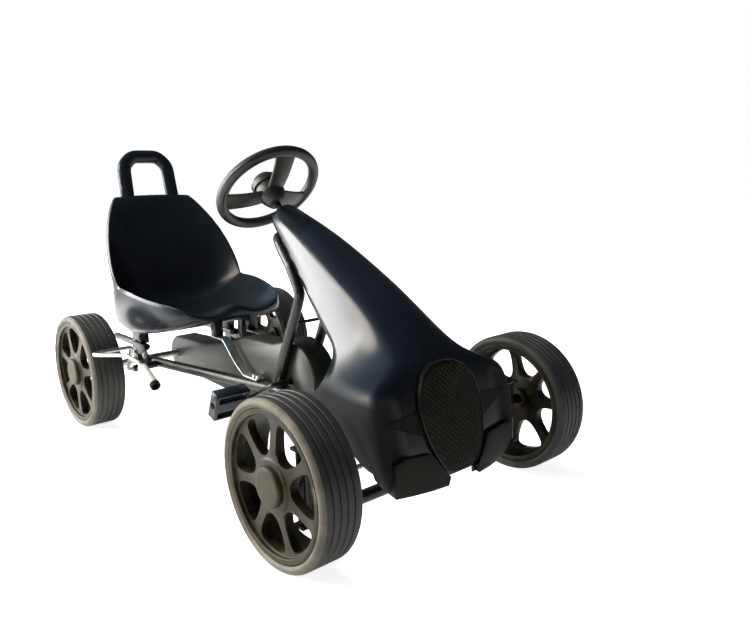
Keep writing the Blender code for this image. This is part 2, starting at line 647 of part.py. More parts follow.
def column_bearing():
    """Collar round the column on a plate that stands on the hoop's top."""
    towards, up = column_axes()
    middle = Vector(WHEEL_CENTRE) - towards * BEARING_DISTANCE
    collar = turned([(COLUMN_RADIUS + TURNING_GAP, -0.012), (0.016, -0.012), (0.016, 0.012),
                     (COLUMN_RADIUS + TURNING_GAP, 0.012)], 16, middle, towards)
    bearing = place(collar, "column_bearing", PAINTED_STEEL)
    plate_top = middle - up * 0.012
    hoop = Vector(HOOP_TOP)
    plate_foot = hoop + (plate_top - hoop).normalized() * (HOOP_RADIUS + FIT_GAP)
    plate = swept([plate_foot, plate_top], flat_bar(0.030, 0.008))
    combine(bearing, "UNION", place(plate, "bearing_plate", PAINTED_STEEL))


def column_foot():
    """Collar round the column's lower end on a bent plate that stands on the front axle tube."""
    towards, up = column_axes()
    middle = Vector(WHEEL_CENTRE) - towards * FOOT_DISTANCE
    collar = turned([(COLUMN_RADIUS + TURNING_GAP, -0.010), (0.015, -0.010), (0.015, 0.010),
                     (COLUMN_RADIUS + TURNING_GAP, 0.010)], 16, middle, towards)
    foot = place(collar, "column_foot", PAINTED_STEEL)
    base_z = AXLE_BEAM_Z + AXLE_BEAM_RADIUS + FIT_GAP
    path = bent([(WHEELBASE, 0.0, base_z), (WHEELBASE, 0.0, 0.168), tuple(middle + up * 0.012)], 0.012, 3)
    combine(foot, "UNION", place(swept(path, flat_bar(0.030, 0.005)), "foot_plate", PAINTED_STEEL))


# Hand brake

def hand_brake():
    """Bent rod with its pivot on the right rail and its bar just ahead of the rear tyre."""
    bar_z = 0.240
    reach = TYRE_RADIUS + BRAKE_TYRE_GAP + BRAKE_ROD_RADIUS
    bar_x = math.sqrt(reach * reach - (bar_z - AXLE_Z) ** 2)
    px, py, pz = BRAKE_PIVOT
    points = [(px, py + 0.036, pz), (px, -0.240, pz), (bar_x, -0.243, bar_z), (bar_x + 0.004, -0.364, bar_z),
              (0.232, -0.291, bar_z), (0.336, -0.301, bar_z), (0.352, -0.301, 0.233)]
    lever = place(swept(bent(points, 0.010, 3), circle(BRAKE_ROD_RADIUS, 8), (0.35, 0.15, 1.0)), "brake_lever",
                  BRIGHT_STEEL, BRAKE_PIVOT)
    rail_side = -(rail_y(px) + RAIL_RADIUS + BUSH_STANDOFF)
    bush = turned([(BRAKE_ROD_RADIUS + TURNING_GAP, rail_side), (0.010, rail_side), (0.010, py - 0.024),
                   (BRAKE_ROD_RADIUS + TURNING_GAP, py - 0.024)], 12, (px, 0.0, pz))
    place(bush, "brake_bush", PAINTED_STEEL)
    start = Vector((0.352, -0.301, 0.233))
    end = Vector((0.429, -0.302, 0.198))
    way = (end - start).normalized()
    grip = rod(start + way * FIT_GAP, end, BRAKE_GRIP_RADIUS, 12)
    place(grip, "brake_grip", GRIP_VINYL, BRAKE_PIVOT)
    return lever


# Seat

# Each section crosses the seat. x, z: middle of the sitting side. half: half its width.
# ahead, rise: how far its edges curve forwards and up. deep_x, deep_z: way to the outer side.
# skirt: share of the outer side that hangs straight down instead of following the sitting side.
# horn: how far the middle stands up between the legs.
SEAT_SECTIONS = (
    dict(x=-0.172, z=0.648, half=0.124, ahead=0.004, rise=-0.006, deep_x=-0.022, deep_z=-0.004),
    dict(x=-0.160, z=0.600, half=0.158, ahead=0.026, rise=-0.002, deep_x=-0.026, deep_z=-0.004),
    dict(x=-0.145, z=0.530, half=0.190, ahead=0.066, rise=0.0, deep_x=-0.028, deep_z=-0.004),
    dict(x=-0.128, z=0.450, half=0.208, ahead=0.094, rise=0.0, deep_x=-0.028, deep_z=-0.004),
    dict(x=-0.114, z=0.380, half=0.207, ahead=0.110, rise=0.022, deep_x=-0.030, deep_z=-0.008),
    dict(x=-0.096, z=0.318, half=0.204, ahead=0.098, rise=0.070, deep_x=-0.030, deep_z=-0.050, skirt=0.5),
    dict(x=-0.050, z=0.286, half=0.207, ahead=0.072, rise=0.102, deep_x=-0.008, deep_z=-0.036, skirt=1.0),
    dict(x=0.060, z=0.278, half=0.212, ahead=0.020, rise=0.108, deep_x=0.0, deep_z=-0.028, skirt=1.0),
    dict(x=0.150, z=0.288, half=0.204, ahead=0.0, rise=0.088, deep_x=0.0, deep_z=-0.024, skirt=1.0, horn=0.008),
    dict(x=0.225, z=0.304, half=0.190, ahead=-0.006, rise=0.062, deep_x=0.0, deep_z=-0.024, skirt=1.0, horn=0.026),
    dict(x=0.290, z=0.322, half=0.164, ahead=-0.010, rise=0.036, deep_x=0.002, deep_z=-0.024, skirt=0.8, horn=0.046),
    dict(x=0.320, z=0.316, half=0.142, ahead=-0.016, rise=0.024, deep_x=-0.006, deep_z=-0.012, horn=0.042),
)
SEAT_SHARES = (0.0, 0.36, 0.74, 0.97, 1.0)
SKIRT_SHARE = 0.97


def seat_ring(section):
    """Closed ring of points: across the sitting side, then back across the outer side."""
    shares = [-share for share in reversed(SEAT_SHARES)] + list(SEAT_SHARES[1:])
    ring = []
    for share in shares:
        curl = abs(share) ** 3
        horn = section.get("horn", 0.0) if share == 0.0 else 0.0
        ring.append(Vector((section["x"] + section["ahead"] * curl, section["half"] * share,
                            section["z"] + section["rise"] * curl + horn)))
    deep = Vector((section["deep_x"], 0.0, section["deep_z"]))
    skirt = section.get("skirt", 0.0)
    for share in reversed(shares):
        curl = abs(share) ** 5
        shell = deep * (1 - curl) + deep.normalized() * SEAT_RIM * curl
        y = section["half"] * 1.015 * max(-1.0, min(1.0, share / SKIRT_SHARE))
        follow = Vector((section["x"] + section["ahead"] * abs(share) ** 4, y,
                         section["z"] + section["rise"] * abs(share) ** 4)) + shell
        hang = Vector((section["x"] + section["deep_x"], y, section["z"] + section["deep_z"]))
        ring.append(follow.lerp(hang, skirt if abs(share) < 1.0 else 0.0))
    return ring


def loft(rings):
    """Skin a row of closed rings; each end is a strip of quads between the ring's two sides."""
    bm = bmesh.new()
    rows = [[bm.verts.new(point) for point in ring] for ring in rings]
    for one, two in zip(rows, rows[1:]):
        for index in range(len(one)):
            after = (index + 1) % len(one)
            bm.faces.new((one[index], one[after], two[after], two[index]))
    for row in (rows[0], rows[-1]):
        for index in range(len(row) // 2 - 1):
            bm.faces.new((row[index], row[index + 1], row[-2 - index], row[-1 - index]))
    return bm


def seat():
    shell = place(loft([seat_ring(section) for section in SEAT_SECTIONS]), "seat", BLACK_PLASTIC)
    smooth = shell.modifiers.new("smooth", "SUBSURF")
    smooth.levels = 1
    smooth.render_levels = 1
    top_x = SEAT_SECTIONS[0]["x"] - 0.014
    out = HANDLE_HALF_WIDTH - HANDLE_BAND / 2
    top = HANDLE_BASE_Z + HANDLE_HEIGHT - HANDLE_BAND / 2
    upright = [(-out, HANDLE_BASE_Z - 0.02), (-out + 0.004, top - 0.03), (-0.042, top), (0.042, top),
               (out - 0.004, top - 0.03), (out, HANDLE_BASE_Z - 0.02)]
    points = [(top_x - HANDLE_LEAN * (z - HANDLE_BASE_Z), y, z) for y, z in upright]
    half_band = HANDLE_BAND / 2
    half_deep = HANDLE_DEPTH / 2
    section = [(half_deep * math.cos(math.tau * (k + 0.5) / 8) * 1.08, half_band * math.sin(math.tau * (k + 0.5) / 8)
                * 1.08) for k in range(8)]
    handle = place(swept(bent(points, 0.04, 4), section, (1.0, 0.0, 0.1)), "seat_handle", BLACK_PLASTIC)
    tools = [handle]
    rail_y = BRACKET_Y - BRACKET_WALL / 2 - SEAT_RAIL_RADIUS - FIT_GAP
    rail_top = SEAT_RAIL_Z + SEAT_RAIL_RADIUS + FIT_GAP
    strut_top = STRUT_TOP_Z + STRUT_WALL / 2 + FIT_GAP
    for side_name, side in SIDES:
        rear_low, rear_high = sorted((side * (rail_y - 0.012), side * (rail_y + 0.012)))
        front_low, front_high = sorted((side * (STRUT_Y - 0.013), side * (STRUT_Y + 0.013)))
        rear = block((-0.045, rear_low, rail_top), (0.020, rear_high, 0.272))
        front = block((0.286, front_low, strut_top), (0.308, front_high, 0.308))
        tools.append(place(rear, f"seat_boss_rear_{side_name}", BLACK_PLASTIC))
        tools.append(place(front, f"seat_boss_front_{side_name}", BLACK_PLASTIC))
    combine(shell, "UNION", *tools)


# Fairing

# Each row crosses the fairing from its middle line outwards, at four places (x, z, half width):
# the shoulder crease, the middle of the side and the free lower edge. middle is (x, z) at y 0.
# The rows run from the tip under the steering wheel down the spine, over the front corners and
# down the nose. The side's edge goes back to a tail over each wheel and then round the wheel's arch.
FAIRING_ROWS = (
    dict(middle=(0.583, 0.630), crease=(0.585, 0.610, 0.040), side=(0.578, 0.600, 0.042), edge=(0.571, 0.590, 0.040)),
    dict(middle=(0.621, 0.615), crease=(0.613, 0.596, 0.045), side=(0.607, 0.583, 0.049), edge=(0.600, 0.570, 0.047)),
    dict(middle=(0.727, 0.579), crease=(0.714, 0.552, 0.058), side=(0.702, 0.524, 0.066), edge=(0.690, 0.496, 0.064)),
    dict(middle=(0.831, 0.524), crease=(0.816, 0.497, 0.068), side=(0.797, 0.456, 0.081), edge=(0.780, 0.418, 0.084)),
    dict(middle=(0.918, 0.480), crease=(0.899, 0.448, 0.074), side=(0.872, 0.409, 0.090), edge=(0.841, 0.370, 0.098)),
    dict(middle=(0.982, 0.440), crease=(0.962, 0.409, 0.077), side=(0.924, 0.378, 0.096), edge=(0.880, 0.350, 0.107)),
    dict(middle=(1.034, 0.404), crease=(1.013, 0.373, 0.081), side=(0.964, 0.351, 0.106), edge=(0.899, 0.330, 0.117)),
    dict(middle=(1.063, 0.366), crease=(1.070, 0.335, 0.093), side=(1.002, 0.322, 0.128), edge=(0.908, 0.306, 0.137)),
    dict(middle=(1.088, 0.336), crease=(1.086, 0.316, 0.142), side=(1.010, 0.300, 0.156), edge=(0.911, 0.281, 0.158)),
    dict(middle=(1.103, 0.302), crease=(1.099, 0.295, 0.194), side=(1.016, 0.280, 0.187), edge=(0.902, 0.258, 0.176)),
    dict(middle=(1.115, 0.258), crease=(1.112, 0.255, 0.195), side=(1.060, 0.256, 0.195), edge=(0.993, 0.252, 0.185)),
    dict(middle=(1.129, 0.210), crease=(1.123, 0.215, 0.194), side=(1.088, 0.222, 0.194), edge=(1.046, 0.236, 0.186)),
    dict(middle=(1.143, 0.165), crease=(1.133, 0.172, 0.192), side=(1.105, 0.178, 0.191), edge=(1.074, 0.190, 0.181)),
    dict(middle=(1.152, 0.128), crease=(1.132, 0.137, 0.186), side=(1.108, 0.140, 0.183), edge=(1.083, 0.142, 0.172)),
    dict(middle=(1.154, 0.100), crease=(1.119, 0.103, 0.160), side=(1.102, 0.106, 0.162), edge=(1.084, 0.108, 0.160)),
)
TAIL_ROW = 9
QUARTER = 0.55
SHOULDER_CREASE = 0.45


def fairing_cage():
    """Grid of the fairing's outer surface, from its right lower edge over the middle to the left one."""
    bm = bmesh.new()
    point_crease = bm.verts.layers.float.new("crease_vert")
    edge_crease = bm.edges.layers.float.new("crease_edge")
    rows = []
    for row in FAIRING_ROWS:
        middle_x, middle_z = row["middle"]
        crease_x, crease_z, crease_y = row["crease"]
        arch = 1.0 - QUARTER ** 2
        half = [(middle_x, 0.0, middle_z),
                (crease_x + (middle_x - crease_x) * arch, crease_y * QUARTER,
                 crease_z + (middle_z - crease_z) * arch)]
        for place_name in ("crease", "side", "edge"):
            x, z, width = row[place_name]
            half.append((x, width, z))
        across = [(x, -y, z) for x, y, z in reversed(half[1:])] + half
        rows.append([bm.verts.new(point) for point in across])
    for end in (0, -1):
        rows[TAIL_ROW][end][point_crease] = 1.0
    for one, two in zip(rows, rows[1:]):
        for index in range(len(one) - 1):
            bm.faces.new((one[index], one[index + 1], two[index + 1], two[index]))
        for shoulder in (2, len(one) - 3):
            bm.edges.get((one[shoulder], two[shoulder]))[edge_crease] = SHOULDER_CREASE
    return bm


def face_outwards(item):
    """Make an open shell's faces point up and forwards."""
    bm = bmesh.new()
    bm.from_mesh(item.data)
    total = sum((face.normal * face.calc_area() for face in bm.faces), Vector())
    if total.z + total.x < 0.0:
        bmesh.ops.reverse_faces(bm, faces=bm.faces)
    bm.to_mesh(item.data)
    bm.free()


def shell_panel(name, material, lift, wall, outward):
    """The fairing's surface, moved out by lift and thickened outwards or inwards by wall."""
    item = place(fairing_cage(), name, material)
    face_outwards(item)
    smooth = item.modifiers.new("smooth", "SUBSURF")
    smooth.levels = 1
    smooth.render_levels = 1
    if lift > 0.0:
        raise_out = item.modifiers.new("lift", "DISPLACE")
        raise_out.strength = lift
        raise_out.mid_level = 0.0
    thick = item.modifiers.new("wall", "SOLIDIFY")
    thick.thickness = wall
    thick.offset = 1.0 if outward else -1.0
    return item


def forward_cutter(name, outline, start_x=1.0):
    """Prism along X whose outline is (y, z) points."""
    bm = bmesh.new()
    face = bm.faces.new([bm.verts.new((start_x, y, z)) for y, z in outline])
    grown = bmesh.ops.extrude_face_region(bm, geom=[face], use_keep_orig=True)
    moved = [part for part in grown["geom"] if isinstance(part, bmesh.types.BMVert)]
    bmesh.ops.translate(bm, vec=(0.3, 0.0, 0.0), verts=moved)
    return place(bm, name, BLACK_PLASTIC)


# (y, z) down the left side of the grille, from its top to its bottom
GRILLE_OUTLINE = ((0.0, 0.335), (0.034, 0.331), (0.061, 0.315), (0.080, 0.287), (0.088, 0.252), (0.085, 0.216),
                  (0.076, 0.182), (0.063, 0.152), (0.048, 0.129), (0.030, 0.122), (0.0, 0.120))


def fairing():
    shell = shell_panel("fairing", BLACK_PLASTIC, 0.0, FAIRING_WALL, False)
    for side_name, side in SIDES:
        low, high = sorted((side * (STAY_Y - 0.012), side * (STAY_Y + 0.012)))
        boss = block((STAY_END_X - 0.016, low, STAY_TOP_Z + FIT_GAP), (NOSE_WALL_X, high, STAY_TOP_Z + 0.019))
        combine(shell, "UNION", place(boss, f"fairing_boss_{side_name}", BLACK_PLASTIC))
    notch = [(-0.040, 0.0), (0.040, 0.0), (NOTCH_HALF, NOTCH_TOP_Z), (-NOTCH_HALF, NOTCH_TOP_Z)]
    combine(shell, "DIFFERENCE", forward_cutter("nose_notch", notch))
    egg = list(GRILLE_OUTLINE) + [(-y, z) for y, z in reversed(GRILLE_OUTLINE[1:-1])]
    grille = shell_panel("grille", GREY_PLASTIC, PANEL_LIFT, GRILLE_WALL, True)
    combine(grille, "INTERSECT", forward_cutter("grille_outline", egg))


def nose_stays():
    """Bent flat bars from the front axle tube to the bosses inside the nose."""
    for side_name, side in SIDES:
        y = side * STAY_Y
        foot_z = AXLE_BEAM_Z + AXLE_BEAM_RADIUS + FIT_GAP + STAY_WALL / 2
        top_z = STAY_TOP_Z - STAY_WALL / 2
        path = bent([(WHEELBASE - 0.014, y, foot_z), (WHEELBASE + 0.016, y, foot_z), (WHEELBASE + 0.034, y, top_z),
                     (STAY_END_X, y, top_z)], 0.008, 3)
        place(swept(path, flat_bar(0.020, STAY_WALL)), f"nose_stay_{side_name}", PAINTED_STEEL)


# (y, z) round the left corner block, from its inner lower corner outwards
BUMPER_OUTLINE = ((0.052, 0.080), (0.150, 0.080), (0.168, 0.118), (0.172, 0.172), (0.148, 0.179), (0.084, 0.173),
                  (0.058, 0.138), (0.040, 0.117))


def bumper_blocks():
    """Moulded corner blocks below the nose."""
    for side_name, side in SIDES:
        panel = shell_panel(f"bumper_block_{side_name}", BLACK_PLASTIC, PANEL_LIFT, BUMPER_WALL, True)
        outline = [(side * y, z) for y, z in BUMPER_OUTLINE]
        combine(panel, "INTERSECT", forward_cutter(f"bumper_outline_{side_name}", outline, BUMPER_BACK_X))


wheels()
rear_axle()
frame_rails()
rear_brackets()
seat_rails()
seat_struts()
steering_hoop()
chain_guard()
crank()
front_axle()
knuckles()
track_rod()
steering()
column_bearing()
column_foot()
hand_brake()
seat()
fairing()
nose_stays()
bumper_blocks()
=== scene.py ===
import json
import math
import bpy
from mathutils import Matrix, Vector
from mathutils.bvhtree import BVHTree
from mathutils.geometry import intersect_point_line


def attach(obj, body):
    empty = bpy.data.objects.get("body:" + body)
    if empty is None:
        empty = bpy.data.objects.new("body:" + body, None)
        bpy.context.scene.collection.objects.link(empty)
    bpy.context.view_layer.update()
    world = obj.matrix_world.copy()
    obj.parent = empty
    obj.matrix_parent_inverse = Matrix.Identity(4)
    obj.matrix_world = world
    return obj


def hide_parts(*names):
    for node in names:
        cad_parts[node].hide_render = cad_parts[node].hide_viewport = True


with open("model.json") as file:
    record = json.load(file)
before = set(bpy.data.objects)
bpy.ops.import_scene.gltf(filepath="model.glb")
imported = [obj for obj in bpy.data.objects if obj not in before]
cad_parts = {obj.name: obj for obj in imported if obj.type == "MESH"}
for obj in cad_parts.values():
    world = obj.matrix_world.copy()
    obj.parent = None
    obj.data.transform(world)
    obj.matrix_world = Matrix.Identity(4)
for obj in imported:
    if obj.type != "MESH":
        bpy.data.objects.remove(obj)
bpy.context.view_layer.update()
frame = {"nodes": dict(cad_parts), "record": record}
print("frame loaded:", len(frame["nodes"]), "nodes")

bodyOfNode = {node: body for body, nodes in frame["record"]["behaviour"]["bodies"].items()
              for node in nodes}
slotOfNode = {row["node"]: row["material_slot"] for row in frame["record"]["subparts"]}
leftAndRight = (("left", 1), ("right", -1))  # the left side is at positive Y


# Camera, at the photograph's viewing angle

cameraSettings = {
    "place": (1.54385, -0.9927, 0.6951),
    "turnZ": 0.8493,
    "turnX": 1.3652,
    "roll": -0.0196,
    "lens": 33.895,
    "sensorWidth": 36,
}
cameraData = bpy.data.cameras.new("camera")
cameraData.sensor_width = cameraSettings["sensorWidth"]
cameraData.lens = cameraSettings["lens"]
camera = bpy.data.objects.new("camera", cameraData)
bpy.context.scene.collection.objects.link(camera)
camera.matrix_world = (Matrix.Translation(cameraSettings["place"])
                       @ Matrix.Rotation(cameraSettings["turnZ"], 4, "Z")
                       @ Matrix.Rotation(cameraSettings["turnX"], 4, "X")
                       @ Matrix.Rotation(cameraSettings["roll"], 4, "Z"))
bpy.context.scene.camera = camera
bpy.context.scene.view_settings.view_transform = "Standard"


# Materials

def hexColour(text):
    # an sRGB hex value as linear red, green and blue, with full alpha
    parts = [int(text[k:k + 2], 16) / 255 for k in (1, 3, 5)]
    linear = [c / 12.92 if c <= 0.04045 else ((c + 0.055) / 1.055) ** 2.4 for c in parts]
    return tuple(linear) + (1.0,)


def addNode(tree, kind, settings=None, links=None):
    node = tree.nodes.new(kind)
    for name, value in (settings or {}).items():
        if isinstance(name, int) or name in node.inputs:
            node.inputs[name].default_value = value
        else:
            setattr(node, name, value)
    for name, source in (links or {}).items():
        tree.links.new(source, node.inputs[name])
    return node


def newMaterial(name):
    material = bpy.data.materials.new(name)
    material.use_nodes = True
    material.node_tree.nodes.clear()
    return material, material.node_tree


def rampNode(tree, source, stops):
    ramp = addNode(tree, "ShaderNodeValToRGB", links={"Fac": source})
    elements = ramp.color_ramp.elements
    for index, (place, colour) in enumerate(stops):
        stop = elements[index] if index < 2 else elements.new(place)  # a new ramp has two stops
        stop.position = place
        stop.color = hexColour(colour)
    return ramp


def mouldedPlastic(name, settings):
    # thermoplastic out of a steel mould: satin, with orange peel, fine grain and dull dusty clouds
    material, tree = newMaterial(name)
    place = addNode(tree, "ShaderNodeTexCoord").outputs["Object"]
    cloud = addNode(tree, "ShaderNodeTexNoise",
                    {"Scale": settings["cloudScale"], "Detail": 5.0, "Roughness": 0.6},
                    {"Vector": place})
    tone = rampNode(tree, cloud.outputs["Fac"],
                    ((0.35, settings["dark"]), (0.7, settings["light"])))
    smoothest, dullest = settings["rough"]
    dull = addNode(tree, "ShaderNodeMapRange",
                   {"From Min": 0.3, "From Max": 0.7, "To Min": smoothest, "To Max": dullest},
                   {"Value": cloud.outputs["Fac"]})
    roughness = dull.outputs["Result"]
    if "scuff" in settings:
        # dulled by grit that the front tyres throw: it fades in outwards and downwards
        outFrom, outTo = settings["scuffOut"]
        downFrom, downTo = settings["scuffDown"]
        spot = addNode(tree, "ShaderNodeSeparateXYZ", links={0: place})
        side = addNode(tree, "ShaderNodeMath", {"operation": "ABSOLUTE"}, {0: spot.outputs["Y"]})
        flank = addNode(tree, "ShaderNodeMapRange", {"From Min": outFrom, "From Max": outTo},
                        {"Value": side.outputs[0]})
        low = addNode(tree, "ShaderNodeMapRange", {"From Min": downFrom, "From Max": downTo},
                      {"Value": spot.outputs["Z"]})
        zone = addNode(tree, "ShaderNodeMath", {"operation": "MULTIPLY"},
                       {0: flank.outputs[0], 1: low.outputs[0]})
        scuffed = addNode(tree, "ShaderNodeMath",
                          {"operation": "MULTIPLY_ADD", 1: settings["scuff"]},
                          {0: zone.outputs[0], 2: roughness})
        roughness = scuffed.outputs[0]
    peel = addNode(tree, "ShaderNodeTexNoise", {"Scale": settings["peelScale"], "Detail": 2.0},
                   {"Vector": place})
    grain = addNode(tree, "ShaderNodeTexVoronoi", {"Scale": settings["grainScale"]},
                    {"Vector": place})
    peelBump = addNode(tree, "ShaderNodeBump", {"Strength": settings["peel"], "Distance": 0.001},
                       {"Height": peel.outputs["Fac"]})
    grainBump = addNode(tree, "ShaderNodeBump", {"Strength": settings["grain"], "Distance": 0.0003},
                        {"Height": grain.outputs["Distance"],
                         "Normal": peelBump.outputs["Normal"]})
    shader = addNode(tree, "ShaderNodeBsdfPrincipled",
                     {"IOR": 1.5, "Specular IOR Level": settings["gloss"]},
                     {"Base Color": tone.outputs["Color"], "Roughness": roughness,
                      "Normal": grainBump.outputs["Normal"]})
    addNode(tree, "ShaderNodeOutputMaterial", links={"Surface": shader.outputs["BSDF"]})
    return material


def foamRubber(name, settings):
    # foam skin: olive grey and dull, fine closed cells, dust in patches about 90 mm wide
    material, tree = newMaterial(name)
    place = addNode(tree, "ShaderNodeTexCoord").outputs["Object"]
    dust = addNode(tree, "ShaderNodeTexNoise", {"Scale": 11.0, "Detail": 7.0, "Roughness": 0.65},
                   {"Vector": place})
    # cells 2.4 mm wide, coarser than the real ones, which would not show
    cells = addNode(tree, "ShaderNodeTexVoronoi", {"Scale": 420.0}, {"Vector": place})
    tone = rampNode(tree, dust.outputs["Fac"],
                    ((0.32, settings["dark"]), (0.68, settings["light"])))
    speck = rampNode(tree, cells.outputs["Distance"], ((0.0, "#c8c8c8"), (0.5, "#ffffff")))
    skin = addNode(tree, "ShaderNodeMix", {"data_type": "RGBA", "blend_type": "MULTIPLY", 0: 0.6},
                   {6: tone.outputs["Color"], 7: speck.outputs["Color"]})
    bump = addNode(tree, "ShaderNodeBump", {"Strength": 0.3, "Distance": 0.0006},
                   {"Height": cells.outputs["Distance"]})
    shader = addNode(tree, "ShaderNodeBsdfPrincipled",
                     {"Roughness": settings["rough"], "IOR": 1.5, "Specular IOR Level": 0.3},
                     {"Base Color": skin.outputs[2], "Normal": bump.outputs["Normal"]})
    addNode(tree, "ShaderNodeOutputMaterial", links={"Surface": shader.outputs["BSDF"]})
    return material


def coatedSteel(name, settings):
    # steel under powder coat or zinc: even, with small specks and slight wear in tone and sheen
    material, tree = newMaterial(name)
    place = addNode(tree, "ShaderNodeTexCoord").outputs["Object"]
    speck = addNode(tree, "ShaderNodeTexNoise", {"Scale": settings["speckScale"], "Detail": 5.0},
                    {"Vector": place})
    tone = rampNode(tree, speck.outputs["Fac"],
                    ((0.4, settings["dark"]), (0.68, settings["light"])))
    smoothest, dullest = settings["rough"]
    dull = addNode(tree, "ShaderNodeMapRange",
                   {"From Min": 0.35, "From Max": 0.65, "To Min": smoothest, "To Max": dullest},
                   {"Value": speck.outputs["Fac"]})
    bump = addNode(tree, "ShaderNodeBump", {"Strength": 0.06, "Distance": 0.0003},
                   {"Height": speck.outputs["Fac"]})
    shader = addNode(tree, "ShaderNodeBsdfPrincipled", {"Metallic": settings["metallic"]},
                     {"Base Color": tone.outputs["Color"], "Roughness": dull.outputs["Result"],
                      "Normal": bump.outputs["Normal"]})
    addNode(tree, "ShaderNodeOutputMaterial", links={"Surface": shader.outputs["BSDF"]})
    return material


# a pattern's scale is 1000 over its width in mm: 5 is 200 mm, 160 is 6 mm and 900 is 1.1 mm
smoothMould = {"peelScale": 160.0, "peel": 0.05, "grainScale": 900.0, "grain": 0.04}
grainedMould = {"cloudScale": 18.0, "rough": (0.42, 0.55), "peelScale": 300.0, "peel": 0.1,
                "grainScale": 700.0, "grain": 0.2}
injectionMould = {"peelScale": 400.0, "peel": 0.1, "grainScale": 800.0, "grain": 0.15}

# high density polyethylene, blow moulded: a smooth, slightly wavy black skin, soft reflections
blackHdpe = mouldedPlastic("blackHdpeBlowMoulded", {
    **smoothMould, "dark": "#14171b", "light": "#1e2329", "cloudScale": 5.0, "rough": (0.20, 0.28),
    "gloss": 0.36})
# the same, blacker and glossier, but dull on its low edges over the front wheels
fairingHdpe = mouldedPlastic("fairingHdpeBlowMoulded", {
    **smoothMould, "dark": "#0c0e11", "light": "#14171c", "cloudScale": 5.0, "rough": (0.20, 0.28),
    "gloss": 0.5, "scuff": 0.75, "scuffOut": (0.125, 0.155), "scuffDown": (0.300, 0.272)})
# the same, matt all over from grit
archHdpe = mouldedPlastic("archHdpeScuffed", {
    **smoothMould, "dark": "#0d0f12", "light": "#171a1f", "cloudScale": 14.0, "rough": (0.50, 0.62),
    "grain": 0.1, "gloss": 0.1})
# polyethylene out of an etched mould: matt, and brownish with dust
grilleHdpe = mouldedPlastic("blackHdpeGrained", {
    **grainedMould, "dark": "#12110b", "light": "#1b1a11", "gloss": 0.15})
# its raised net, where the dust lies thicker and paler
netHdpe = mouldedPlastic("grilleNetHdpe", {
    **grainedMould, "dark": "#2c2b20", "light": "#403f31", "gloss": 0.2})
# polyurethane, foamed in its mould: a soft satin skin over the steering wheel
wheelPolyurethane = mouldedPlastic("steeringWheelPolyurethaneMoulded", {
    "dark": "#15140f", "light": "#24221a", "cloudScale": 25.0, "rough": (0.32, 0.45),
    "peelScale": 300.0, "peel": 0.1, "grainScale": 800.0, "grain": 0.12, "gloss": 0.5})
# polypropylene, injected: black rims, brown dust in 45 mm patches, base darkened as painted shade
rimPolypropylenePaintedShade = mouldedPlastic("rimPolypropyleneInjectedPaintedShade", {
    **injectionMould, "dark": "#120f09", "light": "#352e1d", "cloudScale": 22.0,
    "rough": (0.30, 0.42), "gloss": 0.15})
# the same on the hub caps, duller, and lighter than the rims' painted shade
capPolypropylene = mouldedPlastic("hubCapPolypropyleneInjected", {
    **injectionMould, "dark": "#272115", "light": "#3e3724", "cloudScale": 22.0,
    "rough": (0.42, 0.55), "gloss": 0.2})
# the same on the chain guard, cleaner and shinier
guardPolypropylene = mouldedPlastic("guardPolypropyleneInjected", {
    **injectionMould, "dark": "#13120c", "light": "#232117", "cloudScale": 16.0,
    "rough": (0.38, 0.5), "gloss": 0.5})
# soft vinyl, dipped: an off-white sleeve with a low sheen
gripVinyl = mouldedPlastic("gripVinylDipped", {
    "dark": "#b4b3aa", "light": "#dcdbd2", "cloudScale": 40.0, "rough": (0.35, 0.5),
    "peelScale": 300.0, "peel": 0.1, "grainScale": 900.0, "grain": 0.1, "gloss": 0.5})
# EVA foam, moulded: the outer side wall pale with dust, a darker copy elsewhere as painted shade
tyreEva = foamRubber("tyreEvaFoamMoulded", {"dark": "#47433a", "light": "#767060", "rough": 0.6})
# the darker copy of the same foam: painted shade on the tread and inner side wall
treadEvaPaintedShade = foamRubber("treadEvaFoamPaintedShade", {"dark": "#282827", "light": "#403f3d", "rough": 0.5})
# mild steel tube, powder coated: near black with a low sheen, in specks up to 8 mm wide
blackPowderCoat = coatedSteel("steelTubePowderCoated", {
    "dark": "#0e0d09", "light": "#1d1b15", "rough": (0.26, 0.4), "speckScale": 120.0,
    "metallic": 0.0})
# mild steel, zinc plated: pale grey metal, slightly milky
zincPlate = coatedSteel("steelZincPlated", {
    "dark": "#c6c5bf", "light": "#dddcd6", "rough": (0.34, 0.44), "speckScale": 60.0,
    "metallic": 1.0})
# polyethylene deep in a gap between mouldings, which light hardly reaches
darkSeam = mouldedPlastic("seamShadowHdpe", {
    "dark": "#040404", "light": "#070707", "cloudScale": 30.0, "rough": (0.7, 0.8),
    "peelScale": 300.0, "peel": 0.05, "grainScale": 900.0, "grain": 0.05, "gloss": 0.2})
materialOfSlot = {
    "black_moulded_plastic": blackHdpe,
    "grey_rim_plastic": rimPolypropylenePaintedShade,
    "tyre_foam": tyreEva,
    "black_painted_steel": blackPowderCoat,
    "bright_steel": zincPlate,
    "grip_vinyl": gripVinyl,
}
print("materials made")


# Mesh tools

meshSettings = {
    "mergeGap": 0.00001,
    "skinMergeGap": 0.00005,
    "quadBend": 25,  # degrees between two triangles that may become one quad
    "quadSkew": 60,
}


def deselectAll():
    if bpy.context.mode != "OBJECT":
        bpy.ops.object.mode_set(mode="OBJECT")
    bpy.ops.object.select_all(action="DESELECT")


def pick(*items):
    deselectAll()
    for item in items:
        item.select_set(True)
    bpy.context.view_layer.objects.active = items[0]


def editAll(item):
    pick(item)
    bpy.ops.object.mode_set(mode="EDIT")
    bpy.ops.mesh.select_mode(type="VERT")
    bpy.ops.mesh.select_all(action="SELECT")


def useModifier(item, kind, **settings):
    pick(item)
    step = item.modifiers.new(kind.lower(), kind)
    for name, value in settings.items():
        setattr(step, name, value)
    bpy.ops.object.modifier_apply(modifier=step.name)


